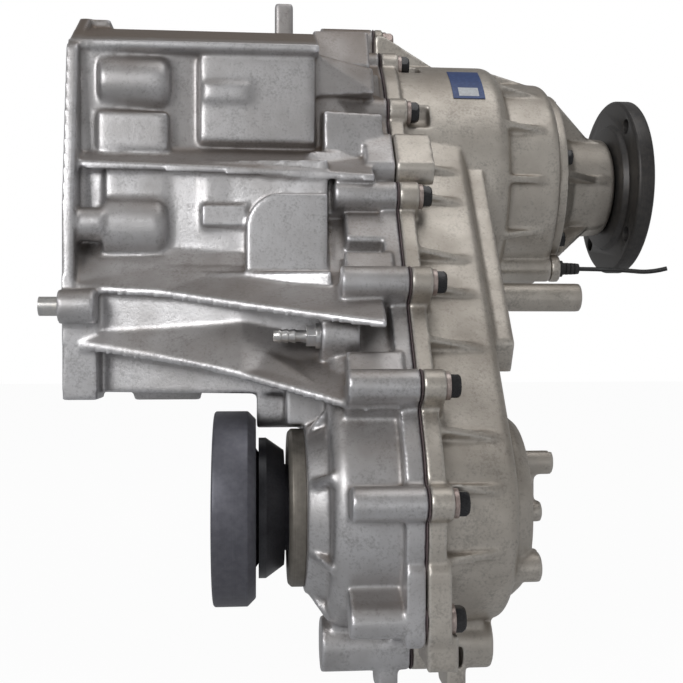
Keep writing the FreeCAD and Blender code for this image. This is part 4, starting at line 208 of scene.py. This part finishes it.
def cast_aluminium(name, clean, dull, shade_brown, worn_highlit_edge, upward_shade_share, bay=(0.0, 1.0), bay_share=0.0):
    """Sand-cast skin; bay is the pair of Y places between which the wall goes from unshaded to a brown
    painted shade.
    """
    finish = Finish(name)
    grain = finish.noise(620.0, 4.0, 0.65)
    mottle = finish.noise(150.0, 5.0, 0.6)
    cloud = finish.noise(20.0, 4.0, 0.55)
    sweep = finish.noise(48.0, 3.0, 0.5)
    bend = finish.node("ShaderNodeNewGeometry", output=7)
    normal = finish.node("ShaderNodeTexCoord", output=1)
    upward = finish.node("ShaderNodeSeparateXYZ", output=2, Vector=normal)
    # Painted shade: inner corners, found by the bend of the surface, are darkened.
    crease_shade = 1.0 - finish.ramp(bend + (mottle - 0.5) * 0.03, *CREASE_BAND)
    # Pale outer corners: partly rubbed wear, partly a painted highlight.
    edge = finish.ramp(bend + (grain - 0.5) * 0.02, *EDGE_BAND)
    depth = finish.node("ShaderNodeSeparateXYZ", output=1, Vector=finish.place())
    # Painted shade: the sunken wall of the front bays is darkened by its depth.
    bay_shade = finish.ramp(depth + (mottle - 0.5) * 0.006, *bay) * bay_share
    # Painted shade: faces that look up are darkened towards the brown shade colour.
    upward_shade = finish.ramp(upward + (cloud - 0.5) * 0.6, *UPWARD_BAND) * upward_shade_share
    # All three painted shades in one mask: upward faces, inner corners and the sunken bay wall.
    painted_shade = finish.ramp(upward_shade + crease_shade * CREASE_SHARE + bay_shade, 0.0, 1.0)
    patch = finish.ramp(cloud * 0.6 + sweep * 0.4, *PATCH_BAND)
    body = finish.mix(patch, clean, dull)
    pores = 1.0 - finish.ramp(grain * 0.5 + mottle * 0.3 + sweep * 0.2, *PORE_BAND)
    body = finish.mix(pores * PORE_SHARE, body, PORE)
    # The brown painted shade is laid over the metal through that mask.
    body = finish.mix(painted_shade, body, shade_brown)
    # Pale edges laid on: rubbed wear and a painted highlight.
    body = finish.mix(edge * EDGE_SHARE, body, worn_highlit_edge)
    height = grain * 0.35 + mottle * 0.35 + sweep * 0.3
    roughness = CAST_ROUGHNESS + patch * 0.08 + mottle * 0.10 + painted_shade * 0.16
    return finish.set(Base_Color=body, Metallic=CAST_METALLIC, Roughness=roughness,
                      Normal=finish.bump(height, strength=0.32, distance=0.0009))


# Colours: clean, dull, brown painted shade, pale edge of wear and painted highlight; then the upward shade
# share.
FRONT_CAST = cast_aluminium("front_cast_aluminium", rgb(0.60, 0.595, 0.605), rgb(0.43, 0.42, 0.42),
                            rgb(0.200, 0.165, 0.140), rgb(0.80, 0.80, 0.84), 0.62, FRONT_BAY, 0.42)
REAR_CAST = cast_aluminium("rear_cast_aluminium", rgb(0.62, 0.580, 0.525), rgb(0.46, 0.425, 0.38),
                           rgb(0.210, 0.178, 0.148), rgb(0.80, 0.78, 0.74), 0.55)
print("cast finishes", FRONT_CAST.name, REAR_CAST.name)

# %% [markdown]
# Turned steel shows fine rings round its axis, darker where it was phosphated. The rings come
# from noise on the distance from the axis, so they follow the lathe and not the world.
# %% Turned and coated steel


def turned_steel(name, colour, worn, roughness, metallic, axis, ring_share=0.25):
    finish = Finish(name)
    where = finish.node("ShaderNodeMapping", {"vector_type": "POINT"}, Vector=finish.place(),
                        Location=(0.0, -axis[1], -axis[2]), Scale=(1.0, 1.0, 1.0))
    flat = finish.node("ShaderNodeVectorMath", {"operation": "MULTIPLY"}, i0=where, i1=(0.0, 1.0, 1.0))
    radius = finish.node("ShaderNodeVectorMath", {"operation": "LENGTH"}, output=1, i0=flat)
    along = finish.node("ShaderNodeSeparateXYZ", output=0, Vector=where)
    rings = finish.node("ShaderNodeTexNoise", {"noise_dimensions": "1D"}, W=radius + along, Scale=1600.0,
                        Detail=3.0, Roughness=0.6)
    mottle = finish.noise(260.0, 5.0, 0.6)
    tone = finish.ramp(mottle * 0.7 + rings * ring_share, 0.30, 0.75)
    return finish.set(Base_Color=finish.mix(tone, colour, worn), Metallic=metallic,
                      Roughness=roughness + mottle * 0.15, Normal=finish.bump(rings, 0.18, 0.0003))


def plain_finish(name, colour, worn, roughness, metallic):
    finish = Finish(name)
    grain = finish.noise(700.0, 4.0, 0.6)
    cloud = finish.noise(60.0, 4.0, 0.5)
    tone = finish.ramp(cloud + (grain - 0.5) * 0.6, 0.35, 0.7)
    return finish.set(Base_Color=finish.mix(tone, colour, worn), Metallic=metallic,
                      Roughness=roughness + grain * 0.12, Normal=finish.bump(grain, 0.25, 0.0002))


FRONT_AXIS = Vector(next(mount["pos_m"] for mount in frame["record"]["mounts"]
                         if mount["name"] == "front_flange_holes"))
DARK_FLANGE = turned_steel("dark_phosphated_steel", rgb(0.050, 0.049, 0.050), rgb(0.095, 0.088, 0.082),
                           0.36, 0.7, MAIN_AXIS)
GUNMETAL = turned_steel("satin_gunmetal", rgb(0.115, 0.115, 0.135), rgb(0.185, 0.185, 0.21),
                        0.40, 0.65, FRONT_AXIS, ring_share=0.1)
SHAFT_STEEL = turned_steel("machined_steel", rgb(0.45, 0.45, 0.46), rgb(0.60, 0.60, 0.60),
                           0.25, 0.95, MAIN_AXIS)
SEAL_STEEL = turned_steel("seal_ring_steel", rgb(0.17, 0.155, 0.135), rgb(0.27, 0.25, 0.22),
                          0.42, 0.7, FRONT_AXIS)
GEAR_STEEL = plain_finish("gear_steel", rgb(0.30, 0.30, 0.31), rgb(0.42, 0.42, 0.42), 0.3, 0.9)
BLACK_BOLT = plain_finish("glossy_black_bolt", rgb(0.012, 0.012, 0.014), rgb(0.03, 0.03, 0.032), 0.14, 0.2)
BLACK_CONE = plain_finish("black_cone", rgb(0.022, 0.022, 0.027), rgb(0.045, 0.045, 0.052), 0.30, 0.3)
ZINC = plain_finish("zinc_plate", rgb(0.52, 0.52, 0.53), rgb(0.66, 0.64, 0.60), 0.25, 0.9)
SEAM = plain_finish("seam_gasket", rgb(0.075, 0.055, 0.058), rgb(0.16, 0.12, 0.125), 0.6, 0.0)
RUBBER = plain_finish("seal_rubber", rgb(0.03, 0.025, 0.022), rgb(0.05, 0.045, 0.04), 0.6, 0.0)
PLASTIC = plain_finish("black_plastic", rgb(0.018, 0.018, 0.019), rgb(0.035, 0.035, 0.035), 0.45, 0.0)
FRICTION = plain_finish("friction_lining", rgb(0.16, 0.12, 0.08), rgb(0.24, 0.19, 0.13), 0.8, 0.0)
COIL = plain_finish("coil_shell", rgb(0.20, 0.11, 0.05), rgb(0.34, 0.18, 0.08), 0.35, 0.5)
SLOT_FINISH = {
    "front_casting": FRONT_CAST, "rear_casting": REAR_CAST, "machined_steel": SHAFT_STEEL,
    "gear_steel": GEAR_STEEL, "dark_flange": DARK_FLANGE, "gunmetal": GUNMETAL,
    "black_bolt": BLACK_BOLT, "zinc": ZINC, "gasket": SEAM, "seal_rubber": RUBBER,
    "lead_plastic": PLASTIC, "coil": COIL, "friction": FRICTION, "plug_plastic": PLASTIC,
}
print("finishes", len(SLOT_FINISH))

# %% [markdown]
# Every CAD node keeps its own shape and takes the finish of its material slot. Two pieces on the
# lower axis differ from the rest of their slot, so they are named one by one.
# %% Finishes on the CAD nodes
NODE_SLOT = {entry["node"]: entry["material_slot"] for entry in frame["record"]["subparts"]}
NODE_FINISH = {"seal_carrier": SEAL_STEEL, "front_dust_cone": BLACK_CONE}


def give_finish(piece, material):
    piece.data.materials.clear()
    piece.data.materials.append(material)


for node, slot in NODE_SLOT.items():
    give_finish(bpy.data.objects[node], NODE_FINISH.get(node, SLOT_FINISH[slot]))
print("dressed nodes", len(NODE_SLOT))

# %% [markdown]
# A CAD node is never changed. Whatever needs another shape works on a copy of the node's mesh,
# with its seams merged, and the copy then stands for the node: it rides on the same body and takes
# the same finish. A small helper does each of these steps.
# %% Selection and copy helpers


def select_only(piece):
    bpy.ops.object.select_all(action="DESELECT")
    piece.select_set(True)
    bpy.context.view_layer.objects.active = piece


def merged_copy(node, name):
    source = bpy.data.objects[node]
    piece = bpy.data.objects.new(name, source.data.copy())
    bpy.context.scene.collection.objects.link(piece)
    select_only(piece)
    bpy.ops.object.mode_set(mode="EDIT")
    bpy.ops.mesh.select_all(action="SELECT")
    bpy.ops.mesh.remove_doubles(threshold=0.00001)
    bpy.ops.object.mode_set(mode="OBJECT")
    return piece


def apply_modifier(piece, kind, **settings):
    modifier = piece.modifiers.new(kind.lower(), kind)
    for name, value in settings.items():
        setattr(modifier, name, value)
    select_only(piece)
    bpy.ops.object.modifier_apply(modifier=modifier.name)


def body_of(node):
    return next(body for body, nodes in frame["record"]["behaviour"]["bodies"].items() if node in nodes)


def stand_for(piece, node, material):
    give_finish(piece, material)
    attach(piece, body_of(node))
    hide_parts(node)


print("helpers ready")

# %% [markdown]
# Between the gearbox end and the parting flange the casting swells: the flat wall of the box runs
# into the flange in one full curve, and ribs and round bosses grow out of it. Such masses are laid
# in as plain blocks and rods before the voxels are made, because the voxels then weld them to the
# wall and the smoothing rounds every junction. A block starts as a cube, and its corners are moved
# one by one to where the form needs them, in millimetres.
# %% Cast masses added to a casting
CORNER_REACH = 0.001


def add_block(left, right):
    """Block between two X stations: each is x, then near low, near high, far high, far low as (y, z)."""
    bpy.ops.object.select_all(action="DESELECT")
    bpy.ops.mesh.primitive_cube_add(size=2.0)
    block = bpy.context.object
    signs = [(-1.0, -1.0), (-1.0, 1.0), (1.0, 1.0), (1.0, -1.0)]
    for end, (x, *section) in ((-1.0, left), (1.0, right)):
        for (side, level), (y, z) in zip(signs, section):
            move_corner(block, Vector((end, side, level)), Vector((x, y, z)) * MM)
    return block


def move_corner(block, old, new):
    bpy.ops.object.mode_set(mode="EDIT")
    bpy.ops.mesh.select_mode(type="VERT")
    bpy.ops.mesh.select_all(action="DESELECT")
    bpy.ops.object.mode_set(mode="OBJECT")
    for vertex in block.data.vertices:
        vertex.select = (vertex.co - old).length < CORNER_REACH
    bpy.ops.object.mode_set(mode="EDIT")
    bpy.ops.transform.translate(value=new - old)
    bpy.ops.object.mode_set(mode="OBJECT")


def add_rod(x_start, x_end, y, z, radius):
    bpy.ops.object.select_all(action="DESELECT")
    bpy.ops.mesh.primitive_cylinder_add(vertices=48, radius=radius * MM, depth=(x_end - x_start) * MM,
                                        location=((x_start + x_end) / 2 * MM, y * MM, z * MM),
                                        rotation=(0.0, math.radians(90), 0.0))
    rod = bpy.context.object
    bpy.ops.object.transform_apply(location=True, rotation=True, scale=True)
    return rod


def join_into(piece, extras):
    select_only(piece)
    for extra in extras:
        extra.select_set(True)
    bpy.ops.object.join()


# The swelling wall between the box and the flange, with two lugs. Far faces stay inside the wall.
NECK_BLOCKS = [
    ((143, (-102, -2), (-102, 62), (-76, 62), (-94, -2)),
     (192, (-97, -2), (-70, 62), (-52, 62), (-94.5, -2))),
    ((144, (-106, 38), (-106, 66), (-66, 66), (-66, 38)),
     (186, (-100, 42), (-92, 60), (-66, 60), (-66, 42))),
    ((153, (-114, 3), (-112, 28), (-76, 28), (-92, 3)), (190, (-112, 0), (-106, 28), (-76, 28), (-93, 0))),
    ((143, (-125.3, -38), (-120, 2), (-92, 2), (-122.5, -38)),
     (192, (-127, -38), (-106, 2), (-92, 2), (-122.5, -38))),
    ((143, (-130, -74), (-125.3, -38), (-108, -38), (-108, -74)),
     (151, (-132.6, -74), (-125.6, -38), (-108, -38), (-108, -74))),
    ((143, (-150, -118), (-132, -78), (-108, -78), (-108, -118)),
     (151, (-155.9, -118), (-136.2, -78), (-108, -78), (-108, -118))),
    ((128, (-172, -160), (-172, -138), (-108, -138), (-108, -160)),
     (160, (-172, -160), (-172, -138), (-108, -138), (-108, -160))),
]


def shelf_blocks(stations, edge=3.0):
    """Sloping shelf through stations of x, near y, near z, wall y, wall z and root thickness."""
    sections = [(x, (near_y, near_z - edge), (near_y, near_z), (wall_y, wall_z), (wall_y, wall_z - root))
                for x, near_y, near_z, wall_y, wall_z, root in stations]
    return list(zip(sections, sections[1:]))


# The two lower shelves, each in one sweep up to the wall and a short end beside the chain's room.
SHELF_THREE = [(2, -136, -80.8, -122, -60, 9), (58, -150, -84.7, -134, -70, 9),
               (105, -170, -92.2, -137, -70, 9), (160, -191.5, -100.2, -138.5, -68.6, 9)]
SHELF_THREE_END = [(160, -191.5, -100.2, -161, -81.5, 5), (181, -200, -103.2, -161, -80.7, 5)]
SHELF_FOUR = [(8, -137, -114.0, -133, -107.9, 9), (52, -153.7, -120.6, -143, -104.8, 9),
              (104, -178.3, -130.8, -156, -101.8, 9), (160, -212, -145.4, -167, -120, 9)]
SHELF_FOUR_END = [(160, -212, -145.4, -185, -130, 5), (186, -214, -145.4, -186, -129.3, 5)]
SHELF_BLOCKS = [block for stations in (SHELF_THREE, SHELF_THREE_END, SHELF_FOUR, SHELF_FOUR_END)
                for block in shelf_blocks(stations)]
# The flat wall between the two shelves, up to the hose barb.
WALL_BLOCKS = [((10, (-134, -111), (-134, -80), (-110, -80), (-110, -111)),
                (103, (-156.5, -105), (-156.5, -87), (-110, -87), (-110, -105))),
               ((103, (-156.5, -106), (-156.5, -87), (-110, -87), (-110, -106)),
                (150, (-161, -118), (-161, -88), (-110, -88), (-110, -118)))]
FRONT_BLOCKS = NECK_BLOCKS + SHELF_BLOCKS + WALL_BLOCKS
# A boss under the box; the cover of the rear case's rail and its foot; the boss beside the rail.
FRONT_RODS = [(38, 78, -108, -141, 8.5)]
REAR_BLOCKS = [((248, (-164.3, -113.1), (-83.6, -1.1), (-71.4, -10.6), (-155.7, -119.8)),
                (256.5, (-164.3, -113.1), (-83.6, -1.1), (-71.4, -10.6), (-155.7, -119.8))),
               ((197, (-231, -280), (-231, -262), (-200, -262), (-200, -280)),
                (213, (-231, -280), (-231, -262), (-200, -262), (-200, -280)))]
REAR_RODS = [(244, 264, -190, -236, 9.0)]
print("added masses", len(FRONT_BLOCKS) + len(FRONT_RODS) + len(REAR_BLOCKS) + len(REAR_RODS))

# %% [markdown]
# A sand casting has no sharp corner anywhere. Rounding thousands of edges one by one would be
# hopeless, so each casting is copied, the masses are joined to it, its skin is rebuilt on a fine
# grid of voxels, and a few smoothing passes melt every edge and inner corner to a radius of a
# millimetre or two. The bays of the near wall get more passes, since their pads are softer still.
# Decimation then takes away the triangles that the flat walls don't need.
# %% Castings
CAST_VOXEL = 1.25 * MM
CAST_PASSES = 6
BAY_PASSES = 34
BAY_BOX = [(12.0, 148.0), (-127.0, -90.0), (-66.0, 66.0)]
CASE_TRIANGLES = 190000
RETAINER_TRIANGLES = 90000


def soften_region(piece, region):
    """More smoothing inside a box given in millimetres, where the pads melt into the wall."""
    inside = [vertex.index for vertex in piece.data.vertices
              if all(low < place / MM < high for place, (low, high) in zip(vertex.co, region))]
    piece.vertex_groups.new(name="bay").add(inside, 1.0, "REPLACE")
    apply_modifier(piece, "SMOOTH", factor=0.5, iterations=BAY_PASSES, vertex_group="bay")
    print("smoothed in the bays", len(inside))


def soften_casting(node, material, voxel, most_triangles, blocks=(), rods=(), bay=None):
    piece = merged_copy(node, node + "_cast")
    extras = [add_block(left, right) for left, right in blocks] + [add_rod(*rod) for rod in rods]
    join_into(piece, extras)
    apply_modifier(piece, "REMESH", mode="VOXEL", voxel_size=voxel, adaptivity=0.0)
    apply_modifier(piece, "SMOOTH", factor=0.5, iterations=CAST_PASSES)
    if bay:
        soften_region(piece, bay)
    count = sum(len(face.vertices) - 2 for face in piece.data.polygons)
    if count > most_triangles:
        apply_modifier(piece, "DECIMATE", ratio=most_triangles / count)
    select_only(piece)
    bpy.ops.object.shade_smooth()
    stand_for(piece, node, material)
    print(piece.name, "triangles", count, "kept", len(piece.data.polygons))


soften_casting("front_case", FRONT_CAST, CAST_VOXEL, CASE_TRIANGLES, FRONT_BLOCKS, FRONT_RODS, BAY_BOX)
soften_casting("rear_case", REAR_CAST, CAST_VOXEL, CASE_TRIANGLES, REAR_BLOCKS, REAR_RODS)
soften_casting("output_retainer", REAR_CAST, CAST_VOXEL * 0.8, RETAINER_TRIANGLES)

# %% [markdown]
# Machined pieces keep their crisp shape but never have a razor edge. A narrow bevel catches the
# light along each corner, which is what makes a lathe part look real.
# %% Bevelled steel pieces
BEVEL_WIDTHS_MM = {"front_flange": 0.5, "rear_flange": 0.5, "case_bolts": 0.4, "seal_carrier": 0.5,
                   "retainer_bolts": 0.3, "hose_barb": 0.2}


def break_edges(node, material, width):
    piece = merged_copy(node, node + "_finished")
    select_only(piece)
    bpy.ops.object.mode_set(mode="EDIT")
    bpy.ops.mesh.select_all(action="SELECT")
    bpy.ops.mesh.dissolve_limited(angle_limit=math.radians(1.0))
    bpy.ops.object.mode_set(mode="OBJECT")
    apply_modifier(piece, "BEVEL", width=width, segments=2, limit_method="ANGLE",
                   angle_limit=math.radians(35), harden_normals=False)
    select_only(piece)
    bpy.ops.object.shade_smooth_by_angle(angle=math.radians(32))
    stand_for(piece, node, material)
    return piece


for node, width in BEVEL_WIDTHS_MM.items():
    made = break_edges(node, NODE_FINISH.get(node, SLOT_FINISH[NODE_SLOT[node]]), width * MM)
    print(made.name, "faces", len(made.data.polygons))

# %% [markdown]
# The case bolts carry a pale washer face under a glossy black head. Both are one forging, so the
# bolts stay one piece, and only the faces between the seat and the hexagon take the second finish.
# %% Washer faces of the case bolts
WASHER_FACE = plain_finish("bolt_washer_face", rgb(0.34, 0.27, 0.25), rgb(0.50, 0.43, 0.40), 0.3, 0.6)
ANY_HEIGHT = -1.0
TOP_BOLT_HEIGHT = 0.095
WASHER_SPANS = [(0.2088, 0.2113, ANY_HEIGHT), (0.2028, 0.2053, TOP_BOLT_HEIGHT)]


def paint_washers(piece):
    """Give the second finish to the faces in each X span, from a least height up."""
    piece.data.materials.append(WASHER_FACE)
    painted = 0
    for face in piece.data.polygons:
        for low, high, least_z in WASHER_SPANS:
            if low < face.center.x < high and face.center.z > least_z:
                face.material_index = 1
                painted += 1
    return painted


print("washer faces", paint_washers(bpy.data.objects["case_bolts_finished"]))

# %% [markdown]
# A plain printed label sits on the larger drum of the clutch housing: a dark blue field with a
# blank pale panel. It is cut from a cylinder just larger than the drum, so that it wraps the metal,
# and a thin solidify gives it the body of vinyl.
# %% Label on the clutch housing
LABEL_X = (0.2425, 0.2640)
LABEL_TURN_DEG = (122.0, 146.0)
LABEL_RADIUS = 0.0845
LABEL_THICKNESS = 0.0003
PANEL_MARGIN = 0.004
PANEL_TURN_DEG = (2.0, 8.0)
PRINT_EDGE = 0.0002


def label_height(margin_deg):
    """Height on the drum of a line that lies some degrees inside the label's lower edge."""
    return LABEL_RADIUS * math.sin(math.radians(LABEL_TURN_DEG[1] - margin_deg))


def label_finish():
    finish = Finish("blue_vinyl_label")
    place = finish.place()
    along = finish.node("ShaderNodeSeparateXYZ", output=0, Vector=place)
    up = finish.node("ShaderNodeSeparateXYZ", output=2, Vector=place)
    start = LABEL_X[0] + PANEL_MARGIN
    end = LABEL_X[1] - PANEL_MARGIN
    foot, top = (label_height(margin) for margin in PANEL_TURN_DEG)
    across = finish.ramp(along, start, start + PRINT_EDGE)
    across = across * (1.0 - finish.ramp(along, end, end + PRINT_EDGE))
    band = finish.ramp(up, foot, foot + PRINT_EDGE) * (1.0 - finish.ramp(up, top, top + PRINT_EDGE))
    wear = finish.noise(420.0, 5.0, 0.6)
    blue = finish.mix(finish.ramp(wear, 0.45, 0.7), rgb(0.012, 0.040, 0.16), rgb(0.03, 0.075, 0.22))
    pale = finish.mix(finish.ramp(wear, 0.4, 0.7), rgb(0.55, 0.57, 0.60), rgb(0.42, 0.43, 0.45))
    printed = finish.mix(across * band, blue, pale)
    return finish.set(Base_Color=printed, Roughness=0.32 + wear * 0.15, Metallic=0.0)


def add_label():
    bpy.ops.object.select_all(action="DESELECT")
    middle = sum(LABEL_X) / 2
    bpy.ops.mesh.primitive_cylinder_add(vertices=240, radius=LABEL_RADIUS, depth=LABEL_X[1] - LABEL_X[0],
                                        end_fill_type="NOTHING", location=(middle, 0.0, 0.0),
                                        rotation=(0.0, math.radians(90), 0.0))
    piece = bpy.context.object
    piece.name = "housing_label"
    bpy.ops.object.transform_apply(location=True, rotation=True, scale=True)
    bpy.ops.object.mode_set(mode="EDIT")
    bpy.ops.mesh.select_mode(type="FACE")
    bpy.ops.mesh.select_all(action="DESELECT")
    bpy.ops.object.mode_set(mode="OBJECT")
    for face in piece.data.polygons:
        turn = math.degrees(math.atan2(face.center.z, face.center.y))
        face.select = not LABEL_TURN_DEG[0] < turn < LABEL_TURN_DEG[1]
    bpy.ops.object.mode_set(mode="EDIT")
    bpy.ops.mesh.delete(type="FACE")
    bpy.ops.object.mode_set(mode="OBJECT")
    apply_modifier(piece, "SOLIDIFY", thickness=LABEL_THICKNESS, offset=-1.0)
    give_finish(piece, label_finish())
    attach(piece, body_of("rear_case"))
    return piece


print("label faces", len(add_label().data.polygons))

# %% [markdown]
# The coil's lead leaves its strain relief at the cone, drops past the edge of the rear flange and
# ends bare. It is a free cord, so it is one smooth spline through the same route as the CAD tube.
# %% Coil lead
LEAD_ROUTE = [(0.322, -0.0395, -0.063), (0.346, -0.0395, -0.063), (0.365, -0.056, -0.065),
              (0.377, -0.070, -0.0675), (0.386, -0.076, -0.065)]
LEAD_DIAMETER = 0.003


def add_lead():
    curve = bpy.data.curves.new("coil_lead_cord", "CURVE")
    curve.dimensions = "3D"
    spline = curve.splines.new("NURBS")
    spline.points.add(len(LEAD_ROUTE) - 1)
    for point, place in zip(spline.points, LEAD_ROUTE):
        point.co = (*place, 1.0)
    spline.order_u = 3
    spline.use_endpoint_u = True
    curve.bevel_depth = LEAD_DIAMETER / 2
    curve.bevel_resolution = 4
    curve.use_fill_caps = True
    piece = bpy.data.objects.new("coil_lead_cord", curve)
    bpy.context.scene.collection.objects.link(piece)
    stand_for(piece, "coil_lead", PLASTIC)


add_lead()
print("lead points", len(LEAD_ROUTE))

# %% [markdown]
# The floor and the world are white to the camera, as on a product page. Bright metal would mirror
# all that white and clip, so reflections see a dimmer floor and a sky that fades with its height.
# The light that reaches the case comes mostly from three soft lamps at a plain level.
# %% Floor, world and lamps
FLOOR_SIZE = 8.0
FLOOR_DROP = 0.001
FLOOR_TO_CAMERA = 0.965
FLOOR_TO_REFLECTION = 0.9
MIRRORED_FLOOR_GLOW = 0.36
WORLD_LIGHT = 0.20
WORLD_TO_CAMERA = 0.80
SKY_HEIGHTS = (-0.15, 0.75)
SKY_GLOWS = (0.34, 0.06)
CENTRE = (0.15, -0.08, -0.1)
# Each lamp has a name, a place, a size in metres and a power in watts.
LAMPS = [("key_lamp", (-0.62, -1.15, 0.36), 0.45, 7.5),
         ("low_front_lamp", (0.25, -1.2, -0.62), 0.9, 3.0),
         ("top_lamp", (0.4, -0.3, 1.1), 0.8, 3.6)]


def add_floor():
    bpy.ops.object.select_all(action="DESELECT")
    bpy.ops.mesh.primitive_plane_add(size=FLOOR_SIZE, location=(0.1, 0.0, CAD_BOX[0][2] - FLOOR_DROP))
    floor = bpy.context.object
    floor.name = "studio_floor"
    bpy.ops.object.transform_apply(location=True)
    finish = Finish("studio_floor_white")
    finish.set(Base_Color=rgb(0.82, 0.82, 0.82), Roughness=0.9, Metallic=0.0)
    seen = finish.node("ShaderNodeLightPath", output=0)
    mirrored = finish.node("ShaderNodeLightPath", output=3)
    glow = finish.node("ShaderNodeEmission", Color=rgb(1.0, 1.0, 1.0), Strength=1.0)
    dim = finish.node("ShaderNodeEmission", Color=rgb(0.97, 0.98, 1.0), Strength=MIRRORED_FLOOR_GLOW)
    paper = Signal(finish.tree, finish.shader.outputs[0])
    plain = finish.node("ShaderNodeMixShader", i0=mirrored * FLOOR_TO_REFLECTION, i1=paper, i2=dim)
    surface = finish.node("ShaderNodeMixShader", i0=seen * FLOOR_TO_CAMERA, i1=plain, i2=glow)
    finish.tree.links.new(surface.socket, finish.tree.nodes["Material Output"].inputs["Surface"])
    give_finish(floor, finish.material)


def add_world():
    world = bpy.data.worlds.new("studio_world")
    bpy.context.scene.world = world
    world.use_nodes = True
    tree = world.node_tree
    background = tree.nodes["Background"]
    background.inputs["Color"].default_value = rgb(1.0, 1.0, 1.0)
    path = tree.nodes.new("ShaderNodeLightPath")
    camera_ray = Signal(tree, path.outputs["Is Camera Ray"])
    glossy_ray = Signal(tree, path.outputs["Is Glossy Ray"])
    where = tree.nodes.new("ShaderNodeTexCoord")
    split = tree.nodes.new("ShaderNodeSeparateXYZ")
    tree.links.new(where.outputs["Generated"], split.inputs["Vector"])
    fade = tree.nodes.new("ShaderNodeMapRange")
    for socket, value in zip(list(fade.inputs)[1:5], SKY_HEIGHTS + SKY_GLOWS):
        socket.default_value = value
    tree.links.new(split.outputs["Z"], fade.inputs[0])
    strength = WORLD_LIGHT + camera_ray * WORLD_TO_CAMERA + glossy_ray * Signal(tree, fade.outputs[0])
    tree.links.new(strength.socket, background.inputs["Strength"])


def add_area(name, place, target, size, power):
    bpy.ops.object.select_all(action="DESELECT")
    bpy.ops.object.light_add(type="AREA", location=place)
    lamp = bpy.context.object
    lamp.name = name
    lamp.data.size = size
    lamp.data.energy = power
    way = Vector(target) - Vector(place)
    lamp.rotation_euler = way.to_track_quat("-Z", "Y").to_euler()


add_floor()
add_world()
for name, place, size, power in LAMPS:
    add_area(name, place, CENTRE, size, power)
